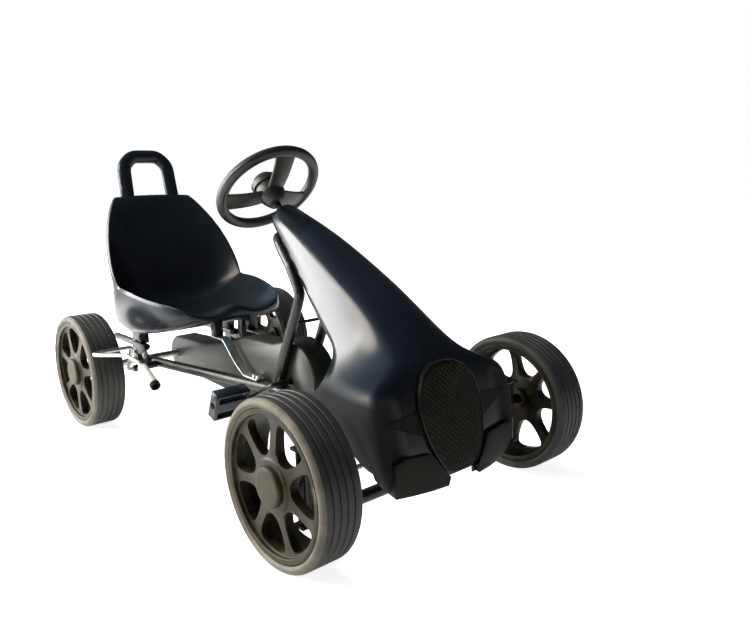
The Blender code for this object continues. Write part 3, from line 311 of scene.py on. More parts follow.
def roundEdges(item, width, segments=2, angle=40.0):
    useModifier(item, "BEVEL", width=width, segments=segments, limit_method="ANGLE",
                angle_limit=math.radians(angle), use_clamp_overlap=True, harden_normals=False)


def shade(item, angle=40.0):
    pick(item)
    bpy.ops.object.shade_smooth_by_angle(angle=math.radians(angle))


def drawLine(name, points):
    # a small plane shrunk to one corner, then drawn out from point to point
    deselectAll()
    bpy.ops.mesh.primitive_plane_add(size=0.01, location=(0, 0, 0))
    item = bpy.context.object
    item.name = name
    editAll(item)
    bpy.ops.mesh.merge(type="CENTER")
    bpy.ops.transform.translate(value=points[0])
    for before, after in zip(points, points[1:]):
        step = Vector(after) - Vector(before)
        bpy.ops.mesh.extrude_region_move(TRANSFORM_OT_translate={"value": step})
    bpy.ops.mesh.select_all(action="SELECT")
    return item


def closeUp():
    bpy.ops.mesh.select_all(action="SELECT")
    bpy.ops.mesh.remove_doubles(threshold=meshSettings["mergeGap"])
    bpy.ops.mesh.normals_make_consistent(inside=False)
    bpy.ops.object.mode_set(mode="OBJECT")


def spun(name, profile, steps, centre=(0, 0, 0), axis=(0, 1, 0), out=(1, 0, 0)):
    # profile holds (distance from the axis, distance along it)
    centre, axis, out = Vector(centre), Vector(axis), Vector(out)
    item = drawLine(name, [centre + out * far + axis * along for far, along in profile])
    bpy.ops.mesh.spin(steps=steps, angle=math.tau, center=centre, axis=axis)
    closeUp()
    return item


def slabOf(name, points, depth):
    # an outline filled and pushed out by the depth vector
    item = drawLine(name, points)
    bpy.ops.mesh.edge_face_add()
    bpy.ops.mesh.extrude_region_move(TRANSFORM_OT_translate={"value": depth})
    closeUp()
    return item


def copyOf(item, name, move):
    twin = item.copy()
    twin.data = item.data.copy()
    twin.name = name
    bpy.context.scene.collection.objects.link(twin)
    twin.matrix_world = move
    pick(twin)
    bpy.ops.object.transform_apply(location=True, rotation=True, scale=True)
    return twin


def drop(*items):
    for item in items:
        bpy.data.objects.remove(item)


def finishPiece(item, name, node, material=None, *replaced):
    # a piece takes its body from a CAD node, and its usual material from that node's slot
    item.name = name
    item.data.name = name
    item.data.materials.clear()
    item.data.materials.append(material or materialOfSlot[slotOfNode[node]])
    if replaced:
        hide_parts(*replaced)
    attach(item, bodyOfNode[node])
    return item


def skinOf(node):
    # a copy of the CAD node's triangles, joined into one surface of quads
    item = frame["nodes"][node].copy()
    item.data = frame["nodes"][node].data.copy()
    for key in list(item.keys()):
        del item[key]
    item.parent = None
    item.matrix_world = Matrix.Identity(4)
    bpy.context.scene.collection.objects.link(item)
    editAll(item)
    bpy.ops.mesh.remove_doubles(threshold=meshSettings["skinMergeGap"])
    bpy.ops.mesh.tris_convert_to_quads(face_threshold=math.radians(meshSettings["quadBend"]),
                                       shape_threshold=math.radians(meshSettings["quadSkew"]))
    bpy.ops.object.mode_set(mode="OBJECT")
    return item


# Wheels: foam tyre, spoked rim and hub cap, made once about the origin and copied

wheelSettings = {
    "tyreRadius": 0.160,
    "tyreHalfWidth": 0.0445,
    "treadHalfWidth": 0.0375,
    # distance from the axle, and how far in from the tyre's side
    "bead": ((0.1423, 0.004), (0.1463, 0.002), (0.1475, 0.0004)),
    "shoulder": 0.012,
    "shoulderAngles": (78, 62, 47, 32, 18, 6),
    "grooves": (-0.0225, -0.0075, 0.0075, 0.0225),
    "grooveDepth": 0.0032,
    "grooveHalf": 0.0024,
    # shares of the groove's half width and of its depth
    "grooveShape": ((-1.0, 0.0), (-0.75, 0.25), (-0.5, 0.9), (0.0, 1.0), (0.5, 0.9), (0.75, 0.25),
                    (1.0, 0.0)),
    # distance from the axle, and distance out from the wheel's middle
    "rimFront": ((0.012, 0.0390), (0.0425, 0.0390), (0.0440, 0.0385), (0.0480, 0.0385),
                 (0.0500, 0.0365), (0.0540, 0.0350), (0.1260, 0.0330), (0.1290, 0.0345),
                 (0.1300, 0.0400), (0.1312, 0.0410), (0.1400, 0.0410), (0.1418, 0.0395)),
    "rimBack": ((0.1418, -0.0395), (0.1400, -0.0410), (0.1300, -0.0410), (0.1285, -0.0400),
                (0.1325, -0.0250), (0.1325, 0.0100), (0.1250, 0.0165), (0.0500, 0.0165),
                (0.0470, 0.0150), (0.0240, 0.0150), (0.0235, 0.0030), (0.0120, 0.0030),
                (0.0120, 0.0390)),
    "rimEdge": 0.0018,
    "hubCap": ((0.0, 0.0488), (0.0290, 0.0490), (0.0335, 0.0487), (0.0360, 0.0476),
               (0.0374, 0.0455), (0.0378, 0.0425), (0.0378, 0.0394), (0.0, 0.0394)),
    "turnSteps": 96,
    "capSteps": 64,
    "spokes": 7,
    # distance from the axle, and half the spoke's width there
    "spokeHalfWidths": ((0.0555, 0.0215), (0.0570, 0.0180), (0.0605, 0.0145), (0.0670, 0.0115),
                        (0.0780, 0.0096), (0.0920, 0.0090), (0.1060, 0.0098), (0.1150, 0.0120),
                        (0.1205, 0.0155), (0.1235, 0.0215)),
    "windowReach": 0.1250,
    "windowShares": (0.30, 0.4, 0.5, 0.6, 0.70),
    "cutFrom": 0.05,
    "cutDepth": 0.037,
    "places": {"front_left": (0.54805, 0.3305, 0.160), "front_right": (0.54805, -0.3305, 0.160),
               "rear_left": (-0.48295, 0.3125, 0.160), "rear_right": (-0.48295, -0.3125, 0.160)},
    # degrees that each wheel has rolled, as in the photograph
    "rolled": {"front_left": 0.0, "front_right": -33.5, "rear_left": -25.0, "rear_right": -9.0},
}


def tyreProfile():
    radius, half = wheelSettings["tyreRadius"], wheelSettings["tyreHalfWidth"]
    shoulder = wheelSettings["shoulder"]
    side = [(far, half - inward) for far, inward in wheelSettings["bead"]]
    side += [(radius - shoulder + shoulder * math.cos(math.radians(a)),
              half - shoulder + shoulder * math.sin(math.radians(a)))
             for a in wheelSettings["shoulderAngles"]]
    tread = [(radius - sink * wheelSettings["grooveDepth"],
              middle + share * wheelSettings["grooveHalf"])
             for middle in wheelSettings["grooves"]
             for share, sink in wheelSettings["grooveShape"]]
    low = [(far, -along) for far, along in side]
    return low + tread + side[::-1] + [low[0]]


def windowOutline():
    # one opening between two dog-bone spokes, drawn just outside the wheel
    gap = math.tau / wheelSettings["spokes"]
    near = [(far, math.asin(half / far)) for far, half in wheelSettings["spokeHalfWidths"]]
    outer = [(wheelSettings["windowReach"], gap * share) for share in wheelSettings["windowShares"]]
    back = [(far, gap - angle) for far, angle in near[::-1]]
    return [(far * math.cos(angle), wheelSettings["cutFrom"], far * math.sin(angle))
            for far, angle in near + outer + back]


tyreFirst = spun("tyreFirst", tyreProfile(), wheelSettings["turnSteps"])
shade(tyreFirst, 30.0)
rimFirst = spun("rimFirst", wheelSettings["rimFront"] + wheelSettings["rimBack"],
                wheelSettings["turnSteps"])
windows = slabOf("windows", windowOutline(), (0, -wheelSettings["cutDepth"], 0))
editAll(windows)
for turn in range(wheelSettings["spokes"] - 1):
    bpy.ops.mesh.duplicate()
    bpy.ops.transform.rotate(value=math.tau / wheelSettings["spokes"], orient_axis="Y",
                             center_override=(0, 0, 0))
bpy.ops.object.mode_set(mode="OBJECT")
useModifier(rimFirst, "BOOLEAN", operation="DIFFERENCE", solver="EXACT", object=windows)
drop(windows)
roundEdges(rimFirst, wheelSettings["rimEdge"], 2, 35.0)
shade(rimFirst, 35.0)
capFirst = spun("capFirst", wheelSettings["hubCap"], wheelSettings["capSteps"])
shade(capFirst, 40.0)
for wheel, place in wheelSettings["places"].items():
    isLeft = wheel.endswith("left")
    outward = 0.0 if isLeft else math.pi
    roll = math.radians(wheelSettings["rolled"][wheel])
    roll = roll if isLeft else math.pi - roll
    move = (Matrix.Translation(place) @ Matrix.Rotation(outward, 4, "Z")
            @ Matrix.Rotation(roll, 4, "Y"))
    for first, part, node, material in ((tyreFirst, "foamTyre_", "tyre_", None),
                                        (rimFirst, "spokedRim_", "rim_", None),
                                        (capFirst, "hubCap_", "hub_cap_", capPolypropylene)):
        piece = copyOf(first, part, move)
        finishPiece(piece, part + wheel, node + wheel, material, node + wheel)
        if first is tyreFirst:
            piece.data.materials.append(treadEvaPaintedShade)
            for face in piece.data.polygons:  # outer side wall pale; tread and inner side wall take the darker copy, painted shade
                outBy = (face.center.y - place[1]) * math.copysign(1, place[1])
                face.material_index = 0 if outBy > wheelSettings["treadHalfWidth"] else 1
drop(tyreFirst, rimFirst, capFirst)
print("wheels made")


# Body mouldings: seat, fairing and the liners of its wheel arches

seatSettings = {
    "feetBelow": 0.238,
    "feetCrease": 1.0,
}
fairingSettings = {
    "wingsBeyond": 0.14,
    "sharpAngle": 30,
    "sharpCrease": 0.6,
}
archSettings = {
    # (x, z) along the edge of the wheel arch, then the liner's own lower edge
    "edge": ((0.420, 0.257), (0.464, 0.254), (0.504, 0.2505), (0.536, 0.2438), (0.559, 0.2317),
             (0.577, 0.213), (0.589, 0.1903), (0.5965, 0.1668), (0.600, 0.1455), (0.602, 0.127)),
    "under": ((0.585, 0.127), (0.545, 0.138), (0.515, 0.160), (0.470, 0.185), (0.430, 0.220)),
    "lipOut": 0.006,
    "lipWide": 0.014,
    "linerOut": 0.156,
    "linerOutAt": 0.11,  # the height where the liner is that far out
    "linerLean": 0.14,
    "linerThick": 0.003,
}


def besideArch(point):
    # 1 on the arch's edge, falling to 0 a lip's width from it
    edge = [Vector((x, 0, z)) for x, z in archSettings["edge"]]
    flat = Vector((point.x, 0, point.z))
    gaps = []
    for start, end in zip(edge, edge[1:]):
        nearest, share = intersect_point_line(flat, start, end)
        nearest = start if share < 0 else end if share > 1 else nearest
        gaps.append((flat - nearest).length)
    return max(0.0, 1.0 - min(gaps) / archSettings["lipWide"])


def finishShell(skin, node, material=None):
    useModifier(skin, "SUBSURF", levels=1, render_levels=1)
    shade(skin, 50.0)
    return finishPiece(skin, node + "Shell", node, material, node)


seatSkin = skinOf("seat")
for corner in seatSkin.data.vertices:
    corner.select = corner.co.z < seatSettings["feetBelow"]
for edge in seatSkin.data.edges:
    edge.select = all(seatSkin.data.vertices[end].select for end in edge.vertices)
bpy.ops.object.mode_set(mode="EDIT")
bpy.ops.transform.edge_crease(value=seatSettings["feetCrease"])  # the feet keep straight sides
bpy.ops.object.mode_set(mode="OBJECT")
finishShell(seatSkin, "seat")

fairingSkin = skinOf("fairing")
for corner in fairingSkin.data.vertices:
    if abs(corner.co.y) > fairingSettings["wingsBeyond"]:
        lip = archSettings["lipOut"] * besideArch(corner.co)
        corner.co.y += math.copysign(lip, corner.co.y)
pick(fairingSkin)
bpy.ops.object.mode_set(mode="EDIT")
bpy.ops.mesh.select_all(action="DESELECT")
bpy.ops.mesh.edges_select_sharp(sharpness=math.radians(fairingSettings["sharpAngle"]))
bpy.ops.transform.edge_crease(value=fairingSettings["sharpCrease"])
bpy.ops.object.mode_set(mode="OBJECT")
fairingShell = finishShell(fairingSkin, "fairing", fairingHdpe)

for side, sign in leftAndRight:
    outline = []
    for x, z in archSettings["edge"] + archSettings["under"]:
        lean = archSettings["linerLean"] * (z - archSettings["linerOutAt"])
        outline.append((x, sign * (archSettings["linerOut"] + lean), z))
    liner = slabOf("liner", outline, (0, -sign * archSettings["linerThick"], 0))
    roundEdges(liner, 0.0008, 2, 50.0)
    shade(liner, 40.0)
    finishPiece(liner, "archLiner_" + side, "fairing", archHdpe)
print("seat and fairing made")


# Nose: grille plate with its net and rim, corner blocks, lamp recesses

noseSettings = {
    # (y, z) down the left half of the egg-shaped grille
    "outline": ((0.0, 0.335), (0.034, 0.331), (0.061, 0.315), (0.080, 0.287), (0.088, 0.252),
                (0.085, 0.216), (0.076, 0.182), (0.063, 0.152), (0.048, 0.129), (0.030, 0.122),
                (0.0, 0.120)),
    "middle": 0.2275,
    "inFront": 0.75,  # where lines are drawn, ahead of the nose, before they drop onto it
    "plateEdge": 0.0008,
    "netSize": 0.40,
    "netSteps": 34,
    "cellWide": 0.0122,
    "cellTall": 0.0118,
    "netThick": 0.0019,
    "netInset": 0.93,
    "netLift": 0.0002,
    "rimInset": 0.975,
    "rimRadius": 0.0016,
    "blockEdge": 0.0025,
    "lamp": ((0.171, 0.2430), (0.126, 0.2478), (0.084, 0.2510), (0.081, 0.2200), (0.068, 0.1975),
             (0.117, 0.2180)),
    "lampLift": 0.0006,
    "lampThick": 0.001,
    "lampSeam": 0.0009,
}


def dropOnto(item, skin, lift):
    # each point slides back along X until it meets the skin
    useModifier(item, "SHRINKWRAP", target=skin, wrap_method="PROJECT", use_project_x=True,
                use_negative_direction=True, use_positive_direction=False, offset=lift,
                cull_face="OFF")


def seamAlong(name, points, skin, lift, radius):
    # a thin bead that follows a closed outline over the skin
    item = drawLine(name, [(noseSettings["inFront"], across, up) for across, up in points])
    bpy.ops.mesh.edge_face_add()
    bpy.ops.mesh.delete(type="ONLY_FACE")
    bpy.ops.mesh.select_all(action="SELECT")
    bpy.ops.mesh.subdivide(number_cuts=5)
    bpy.ops.object.mode_set(mode="OBJECT")
    dropOnto(item, skin, lift)
    bpy.ops.object.convert(target="CURVE")
    item = bpy.context.object
    item.data.bevel_depth = radius
    item.data.bevel_resolution = 2
    item.data.use_fill_caps = True
    bpy.ops.object.convert(target="MESH")
    item = bpy.context.object
    shade(item, 60.0)
    return item


halfEgg = list(noseSettings["outline"])
wholeEgg = halfEgg + [(-across, up) for across, up in halfEgg[-2:0:-1]]
eggMiddle = noseSettings["middle"]


def insideEgg(across, up, share):
    # whether a point is within the grille's outline, shrunk to a share of its size
    across, up = abs(across) / share, eggMiddle + (up - eggMiddle) / share
    for low, high in zip(halfEgg[1:], halfEgg):
        if low[1] <= up <= high[1]:
            reach = low[0] + (high[0] - low[0]) * (up - low[1]) / (high[1] - low[1])
            return across <= reach
    return False


grillePlate = skinOf("grille")
roundEdges(grillePlate, noseSettings["plateEdge"], 2, 50.0)
shade(grillePlate, 45.0)
finishPiece(grillePlate, "grillePlate", "grille", grilleHdpe, "grille")

# the net is a grid turned to diamonds, stood up, cut to the egg and made of bars
deselectAll()
netSize, netSteps = noseSettings["netSize"], noseSettings["netSteps"]
bpy.ops.mesh.primitive_grid_add(x_subdivisions=netSteps, y_subdivisions=netSteps, size=netSize,
                                location=(0, 0, 0))
net = bpy.context.object
editAll(net)
bpy.ops.transform.rotate(value=math.radians(45), orient_axis="Z", center_override=(0, 0, 0))
cell = netSize / netSteps * math.sqrt(2)
cellShape = (noseSettings["cellTall"] / cell, noseSettings["cellWide"] / cell, 1.0)
bpy.ops.transform.resize(value=cellShape, center_override=(0, 0, 0))
bpy.ops.transform.rotate(value=math.radians(90), orient_axis="Y", center_override=(0, 0, 0))
bpy.ops.transform.translate(value=(noseSettings["inFront"], 0, eggMiddle))
bpy.ops.object.mode_set(mode="OBJECT")
pick(net)
for corner in net.data.vertices:
    corner.select = not insideEgg(corner.co.y, corner.co.z, noseSettings["netInset"])
for part in list(net.data.edges) + list(net.data.polygons):
    part.select = False
bpy.ops.object.mode_set(mode="EDIT")
bpy.ops.mesh.delete(type="VERT")
bpy.ops.object.mode_set(mode="OBJECT")
dropOnto(net, grillePlate, noseSettings["netLift"])
useModifier(net, "WIREFRAME", thickness=noseSettings["netThick"], use_even_offset=False,
            use_boundary=True, use_replace=True)
shade(net, 30.0)
finishPiece(net, "grilleNet", "grille", netHdpe)

rimInset = noseSettings["rimInset"]
rimLine = [(rimInset * across, eggMiddle + rimInset * (up - eggMiddle)) for across, up in wholeEgg]
rimBead = seamAlong("rimBead", rimLine, grillePlate, 0.0, noseSettings["rimRadius"])
finishPiece(rimBead, "grilleRim", "grille", blackHdpe)

for side, sign in leftAndRight:
    block = skinOf("bumper_block_" + side)
    roundEdges(block, noseSettings["blockEdge"], 3, 40.0)
    shade(block, 40.0)
    finishPiece(block, "cornerBlock_" + side, "bumper_block_" + side, grilleHdpe,
                "bumper_block_" + side)
    lampLine = [(sign * across, up) for across, up in noseSettings["lamp"]]
    plate = drawLine("plate", [(noseSettings["inFront"], across, up) for across, up in lampLine])
    bpy.ops.mesh.edge_face_add()
    bpy.ops.mesh.quads_convert_to_tris()
    bpy.ops.mesh.subdivide(number_cuts=7)
    closeUp()
    dropOnto(plate, fairingShell, noseSettings["lampLift"])
    useModifier(plate, "SOLIDIFY", thickness=noseSettings["lampThick"], offset=0.0)
    shade(plate, 40.0)
    finishPiece(plate, "lampRecess_" + side, "fairing", grilleHdpe)
    seam = seamAlong("seam", lampLine, fairingShell, noseSettings["lampLift"],
                     noseSettings["lampSeam"])
    finishPiece(seam, "lampSeam_" + side, "fairing", darkSeam)
print("nose made")


# Steering wheel: round ring, three dished arms, hub, horn cover and its button

steerSettings = {
    "centre": (0.02205, 0.0, 0.665),
    "towards": (-0.70711, 0.0, 0.70711),
    "up": (0.70711, 0.0, 0.70711),
    "ringRadius": 0.125,
    "tubeRadius": 0.013,
    "tubeSides": 16,
    "ringSteps": 80,
    "clocks": {"top": 0.0, "right": 110.0, "left": 250.0},
    # distance from the centre, height over the ring's plane, half width
    "arm": ((0.016, -0.018, 0.020), (0.040, -0.017, 0.023), (0.066, -0.014, 0.024),
            (0.092, -0.008, 0.025), (0.112, -0.002, 0.027), (0.122, 0.002, 0.030)),
    # across an arm: shares of its half width and of its hollow
    "armSection": ((-1.0, 0.0), (-0.6, 0.8), (0.0, 1.0), (0.6, 0.8), (1.0, 0.0)),
    "armThick": 0.008,
    "armHollow": 0.005,
    "armEdge": 0.0022,
    # distance from the column's axis, and distance along it towards the driver
    "hub": ((0.0, -0.0520), (0.0185, -0.0520), (0.0205, -0.0505), (0.0275, -0.0380),
            (0.0330, -0.0260), (0.0345, -0.0180), (0.0345, -0.0010), (0.0330, 0.0030),
            (0.0, 0.0030)),
    "hubSteps": 40,
    "horn": ((0.0, 0.0045), (0.0355, 0.0045), (0.0372, 0.0060), (0.0378, 0.0190),
             (0.0365, 0.0215), (0.0290, 0.0290), (0.0262, 0.0332), (0.0240, 0.0338),
             (0.0225, 0.0322), (0.0, 0.0322)),
    "hornSteps": 48,
    "buttonAt": 0.0318,
    "buttonTall": 0.010,
    "buttonWide": 0.015,
    "buttonThick": 0.0028,
    "buttonShape": ((-1, -0.8), (-1, 0.8), (-0.7, 1), (0.7, 1), (1, 0.8), (1, -0.8), (0.7, -1),
                    (-0.7, -1)),
}
steerMiddle = Vector(steerSettings["centre"])
towardsDriver = Vector(steerSettings["towards"])
wheelUp = Vector(steerSettings["up"])
tubeSides, tubeRadius = steerSettings["tubeSides"], steerSettings["tubeRadius"]
tube = [(steerSettings["ringRadius"] + tubeRadius * math.cos(a * math.tau / tubeSides),
         tubeRadius * math.sin(a * math.tau / tubeSides)) for a in range(tubeSides + 1)]
ring = spun("ring", tube, steerSettings["ringSteps"], steerMiddle, towardsDriver, wheelUp)
shade(ring, 60.0)
finishPiece(ring, "steeringRing", "steering_wheel", wheelPolyurethane, "steering_wheel")
for label, clock in steerSettings["clocks"].items():
    angle = math.radians(clock)
    out = wheelUp * math.cos(angle) - Vector((0, 1, 0)) * math.sin(angle)
    across = out.cross(towardsDriver)
    far, height, wide = steerSettings["arm"][0]
    middle = steerMiddle + out * far + towardsDriver * height
    hollow = towardsDriver * steerSettings["armHollow"]
    arm = drawLine("arm", [middle + across * wide * share - hollow * depth
                           for share, depth in steerSettings["armSection"]])
    for nextFar, nextHeight, nextWide in steerSettings["arm"][1:]:
        step = out * (nextFar - far) + towardsDriver * (nextHeight - height)
        bpy.ops.mesh.extrude_region_move(TRANSFORM_OT_translate={"value": step})
        middle = middle + step
        grow = nextWide / wide
        bpy.ops.transform.resize(value=(1, grow, 1) if label == "top" else (grow, grow, grow),
                                 center_override=middle)
        far, height, wide = nextFar, nextHeight, nextWide
    closeUp()
    useModifier(arm, "SOLIDIFY", thickness=steerSettings["armThick"], offset=0.0)
    roundEdges(arm, steerSettings["armEdge"], 2, 50.0)
    useModifier(arm, "SUBSURF", levels=1, render_levels=1)
    shade(arm, 50.0)
    finishPiece(arm, "steeringArm_" + label, "steering_wheel", wheelPolyurethane, "steering_wheel")
hub = spun("hub", steerSettings["hub"], steerSettings["hubSteps"], steerMiddle, towardsDriver,
           wheelUp)
shade(hub, 40.0)
finishPiece(hub, "steeringHub", "steering_wheel", wheelPolyurethane, "steering_wheel")
horn = spun("horn", steerSettings["horn"], steerSettings["hornSteps"], steerMiddle, towardsDriver,
            wheelUp)
shade(horn, 35.0)
finishPiece(horn, "hornCover", "horn_pad", wheelPolyurethane, "horn_pad")
buttonAt = steerMiddle + towardsDriver * steerSettings["buttonAt"]
corners = [buttonAt + wheelUp * (steerSettings["buttonTall"] * up)
           + Vector((0, steerSettings["buttonWide"] * across, 0))
           for up, across in steerSettings["buttonShape"]]
button = slabOf("button", corners, towardsDriver * steerSettings["buttonThick"])
roundEdges(button, 0.0008, 2, 50.0)
shade(button, 40.0)
finishPiece(button, "hornButton", "horn_pad", darkSeam)
print("steering wheel made")


# Hand brake grip: dipped sleeve with a collar, ribs and an end cap

gripSettings = {
    "start": (-0.13095, -0.301, 0.233),
    "end": (-0.05395, -0.302, 0.198),
    "radius": 0.0122,
    "steps": 32,
    # each point: how far under the grip's radius, and how far along
    "collar": ((0.0012, 0.0006), (0.0, 0.0020), (0.0, 0.0065), (0.0008, 0.0075)),
    "ribs": 7,
    "firstRib": 0.012,
    "ribPitch": 0.0085,
    "rib": ((0.0008, 0.0), (0.0001, 0.0012), (0.0001, 0.0042), (0.0008, 0.0054)),
    # the same, but how far back from the grip's end
    "mouth": ((0.0006, 0.006), (0.0, 0.005), (0.0002, 0.001), (0.0016, 0.0002), (0.0034, 0.0010),
              (0.0040, 0.020)),
    "cap": ((0.0044, 0.016), (0.0044, 0.0016), (0.0020, -0.0004), (-0.0004, 0.0008),
            (-0.0006, 0.011), (0.0030, 0.011)),
}
gripStart, gripEnd = Vector(gripSettings["start"]), Vector(gripSettings["end"])
gripWay = (gripEnd - gripStart).normalized()
gripOut = gripWay.orthogonal().normalized()
gripLong, thick = (gripEnd - gripStart).length, gripSettings["radius"]
sleeve = [(0.0, gripSettings["collar"][0][1])]
sleeve += [(thick - under, along) for under, along in gripSettings["collar"]]
for rib in range(gripSettings["ribs"]):
    at = gripSettings["firstRib"] + rib * gripSettings["ribPitch"]
    sleeve += [(thick - under, at + along) for under, along in gripSettings["rib"]]
sleeve += [(thick - under, gripLong - back) for under, back in gripSettings["mouth"]]
sleeve += [(0.0, gripLong - gripSettings["mouth"][-1][1])]
grip = spun("grip", sleeve, gripSettings["steps"], gripStart, gripWay, gripOut)
shade(grip, 40.0)
finishPiece(grip, "brakeGrip", "brake_grip", None, "brake_grip")
cap = [(0.0, gripLong - gripSettings["cap"][0][1])]
cap += [(thick - under, gripLong - back) for under, back in gripSettings["cap"]]
endCap = spun("endCap", cap, gripSettings["steps"], gripStart, gripWay, gripOut)
shade(endCap, 40.0)
finishPiece(endCap, "gripEndCap", "brake_grip", darkSeam)


# Tubes, rods and stamped parts keep their CAD shape, made rounder or with softened edges

tubeNodes = ("steering_hoop", "brake_lever", "crank_rod")
leverSettings = {
    "bareBeyond": -0.235,  # past this Y the lever stands clear of its bush
    "fuller": 0.0012,
}
edgeOfNode = {
    "frame_rail_left": 0.0012, "frame_rail_right": 0.0012, "chain_guard": 0.0035,
    "pedal_left": 0.0014, "pedal_right": 0.0014, "front_axle_beam": 0.0008,
    "knuckle_left": 0.0008, "knuckle_right": 0.0008, "track_rod": 0.0006,
    "steering_column": 0.0006, "column_foot": 0.0006, "column_bearing": 0.0006,
    "seat_strut_left": 0.0008, "seat_strut_right": 0.0008, "rear_bracket_left": 0.0006,
    "rear_bracket_right": 0.0006, "rear_axle_shaft": 0.0008, "brake_bush": 0.0006,
    "hoop_cross_rod": 0.0006, "nose_stay_left": 0.0006, "nose_stay_right": 0.0006,
    "seat_rail_left": 0.0006, "seat_rail_right": 0.0006,
}
for node in tubeNodes:
    skin = skinOf(node)
    useModifier(skin, "SUBSURF", levels=1, render_levels=1)
    if node == "brake_lever":
        bare = skin.vertex_groups.new(name="bare")
        bare.add([corner.index for corner in skin.data.vertices
                  if corner.co.y < leverSettings["bareBeyond"]], 1.0, "REPLACE")
        useModifier(skin, "DISPLACE", strength=leverSettings["fuller"], mid_level=0.0,
                    vertex_group="bare")
    shade(skin, 60.0)
    finishPiece(skin, node + "Skin", node, None, node)
for node, width in edgeOfNode.items():
    skin = skinOf(node)
    editAll(skin)
    bpy.ops.mesh.dissolve_limited(angle_limit=math.radians(1.0))
    bpy.ops.object.mode_set(mode="OBJECT")
    roundEdges(skin, width, 2, 50.0)
    shade(skin, 45.0)
    finishPiece(skin, node + "Skin", node, guardPolypropylene if node == "chain_guard" else None,
                node)
print("frame skins made")


# Hexagon bolts, made once and set where a ray from outside meets the steel

boltSettings = {
    "headRadius": 0.0072,
    "headHigh": 0.0048,
    "headEdge": 0.0006,
    "washerRadius": 0.0090,
    "washerHigh": 0.0012,
    "washerSunk": 0.0004,
    "washerSteps": 24,
    # node without its side, where its rays start on the left, and which way they go there
    "rays": (("seat_strut_", ((0.000, 0.056, 0.30), (0.018, 0.056, 0.30)), (0, 0, -1)),
             ("rear_bracket_", ((-0.510, 0.30, 0.180), (-0.441, 0.30, 0.180)), (0, -1, 0)),
             ("nose_stay_", ((0.546, 0.090, 0.20),), (0, 0, -1))),
}
headRadius, washerRadius = boltSettings["headRadius"], boltSettings["washerRadius"]
washerHigh, washerSunk = boltSettings["washerHigh"], boltSettings["washerSunk"]
hexagon = [(headRadius * math.cos(a * math.tau / 6), headRadius * math.sin(a * math.tau / 6),
            washerHigh) for a in range(6)]
boltFirst = slabOf("boltFirst", hexagon, (0, 0, boltSettings["headHigh"]))
roundEdges(boltFirst, boltSettings["headEdge"], 2, 50.0)
washer = spun("washer", [(0.0, -washerSunk), (washerRadius, -washerSunk),
                         (washerRadius, washerHigh), (0.0, washerHigh)],
              boltSettings["washerSteps"], (0, 0, 0), (0, 0, 1), (1, 0, 0))
pick(boltFirst, washer)
bpy.ops.object.join()
shade(boltFirst, 35.0)
boltPlaces = [(base + side, (x, sign * y, z), (wayX, sign * wayY, wayZ))
              for base, starts, (wayX, wayY, wayZ) in boltSettings["rays"]
              for side, sign in leftAndRight[::-1] for x, y, z in starts]
for number, (node, start, way) in enumerate(boltPlaces, 1):
    mesh = frame["nodes"][node].data
    steel = BVHTree.FromPolygons([corner.co for corner in mesh.vertices],
                                 [face.vertices for face in mesh.polygons])
    spot, facing = steel.ray_cast(Vector(start), Vector(way))[:2]
    if spot is None:
        print("bolt", number, "meets nothing on", node)
        continue
    if facing.dot(Vector(way)) > 0:
        facing = -facing
    turn = facing.to_track_quat("Z", "X").to_matrix().to_4x4()
    bolt = copyOf(boltFirst, "bolt", Matrix.Translation(spot) @ turn)
    finishPiece(bolt, f"bolt_{number}", node, zincPlate)
drop(boltFirst)
print("bolts made")


# Floor, backdrop and light

studio = {
    "floorSize": 30.0,
    "floorDrop": 0.0005,
    "floorColour": "#f4f4f4",
    "floorGlow": 0.86,
    "glossyShare": 0.4,  # how much of the glow reflections show
    # the world's tone from the horizon up, and its glow around the key light's direction
    "ceiling": ((0.0, "#a8a8a6"), (0.04, "#626260"), (0.2, "#43474b"), (0.5, "#3c444c"),
                (1.0, "#4a5f74")),
    "halo": ((0.45, "#000000"), (0.64, "#4c6270"), (0.86, "#8299a6"), (0.955, "#ffffff")),
    "haloWay": (-0.76, -0.60, 0.25),
    "haloStrength": 2.2,
    "aim": (0.3, -0.1, 0.40),
    # place, size, power, colour, and whether reflections show it
    "lamps": {"keyLight": ((-1.98, -1.88, 1.10), (1.9, 1.7), 120.0, "#ffffff", True),
              "sideLight": ((-0.7, -2.8, 2.3), (2.0, 1.2), 78.0, "#fff6e8", True),
              "skyLight": ((-1.6, -0.9, 3.2), (2.5, 2.5), 140.0, "#fffaf0", False)},
}
deselectAll()
bpy.ops.mesh.primitive_plane_add(size=studio["floorSize"], location=(0, 0, -studio["floorDrop"]))
floor = bpy.context.object
floor.name = "floor"
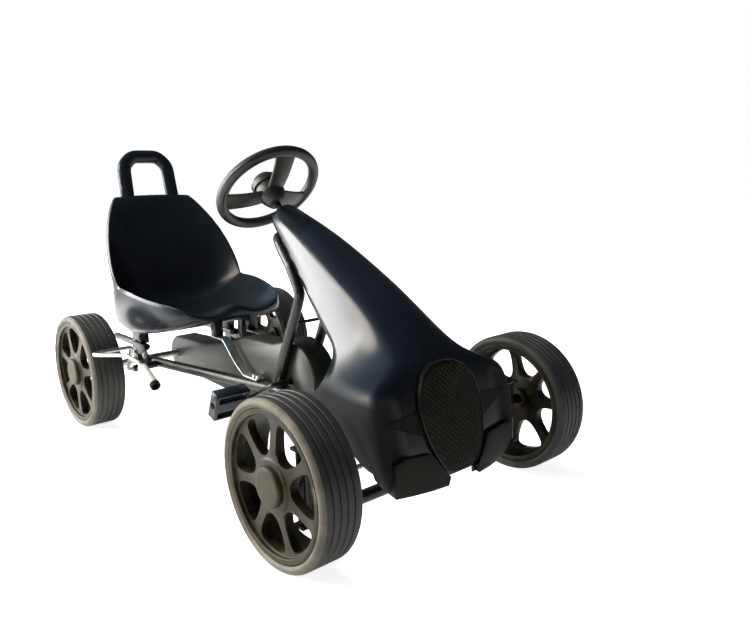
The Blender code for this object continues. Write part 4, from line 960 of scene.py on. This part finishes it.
# pale matt paint that keeps shadows, with a glow for the camera, reflections and glass alone
floorPaint, tree = newMaterial("floorPaint")
lightPath = addNode(tree, "ShaderNodeLightPath")
seen = addNode(tree, "ShaderNodeMath", {"operation": "MULTIPLY_ADD", 1: studio["glossyShare"]},
               {0: lightPath.outputs["Is Glossy Ray"], 2: lightPath.outputs["Is Camera Ray"]})
through = addNode(tree, "ShaderNodeMath", {"operation": "ADD"},
                  {0: seen.outputs["Value"], 1: lightPath.outputs["Is Transmission Ray"]})
glow = addNode(tree, "ShaderNodeMath", {"operation": "MULTIPLY", 1: studio["floorGlow"]},
               {0: through.outputs["Value"]})
paint = addNode(tree, "ShaderNodeBsdfPrincipled",
                {"Base Color": hexColour(studio["floorColour"]), "Roughness": 0.9,
                 "Specular IOR Level": 0.0, "Emission Color": (1, 1, 1, 1)},
                {"Emission Strength": glow.outputs["Value"]})
addNode(tree, "ShaderNodeOutputMaterial", links={"Surface": paint.outputs["BSDF"]})
floor.data.materials.append(floorPaint)

world = bpy.data.worlds.new("studioWorld")
bpy.context.scene.world = world
world.use_nodes = True
tree = world.node_tree
tree.nodes.clear()
lightPath = addNode(tree, "ShaderNodeLightPath")
direction = addNode(tree, "ShaderNodeTexCoord").outputs["Generated"]
height = addNode(tree, "ShaderNodeSeparateXYZ", links={0: direction}).outputs["Z"]
ceiling = rampNode(tree, height, studio["ceiling"])
around = addNode(tree, "ShaderNodeBackground", {"Strength": 1.0},
                 {"Color": ceiling.outputs["Color"]})
facing = addNode(tree, "ShaderNodeVectorMath",
                 {"operation": "DOT_PRODUCT", 1: studio["haloWay"]}, {0: direction})
halo = rampNode(tree, facing.outputs["Value"], studio["halo"])
glowing = addNode(tree, "ShaderNodeBackground", {"Strength": studio["haloStrength"]},
                  {"Color": halo.outputs["Color"]})
both = addNode(tree, "ShaderNodeAddShader", links={0: around.outputs[0], 1: glowing.outputs[0]})
plain = addNode(tree, "ShaderNodeBackground", {"Color": (1, 1, 1, 1), "Strength": 1.0})
either = addNode(tree, "ShaderNodeMixShader", links={0: lightPath.outputs["Is Camera Ray"],
                                                     1: both.outputs[0], 2: plain.outputs[0]})
addNode(tree, "ShaderNodeOutputWorld", links={"Surface": either.outputs[0]})

for name, (place, size, power, colour, inMirrors) in studio["lamps"].items():
    data = bpy.data.lights.new(name, "AREA")
    data.shape = "RECTANGLE"
    data.size, data.size_y = size
    data.energy = power
    data.color = hexColour(colour)[:3]
    lamp = bpy.data.objects.new(name, data)
    lamp.location = place
    aim = Vector(studio["aim"]) - Vector(place)
    lamp.rotation_euler = aim.to_track_quat("-Z", "Y").to_euler()
    lamp.visible_camera = False
    lamp.visible_glossy = inMirrors
    bpy.context.scene.collection.objects.link(lamp)
print("studio set")
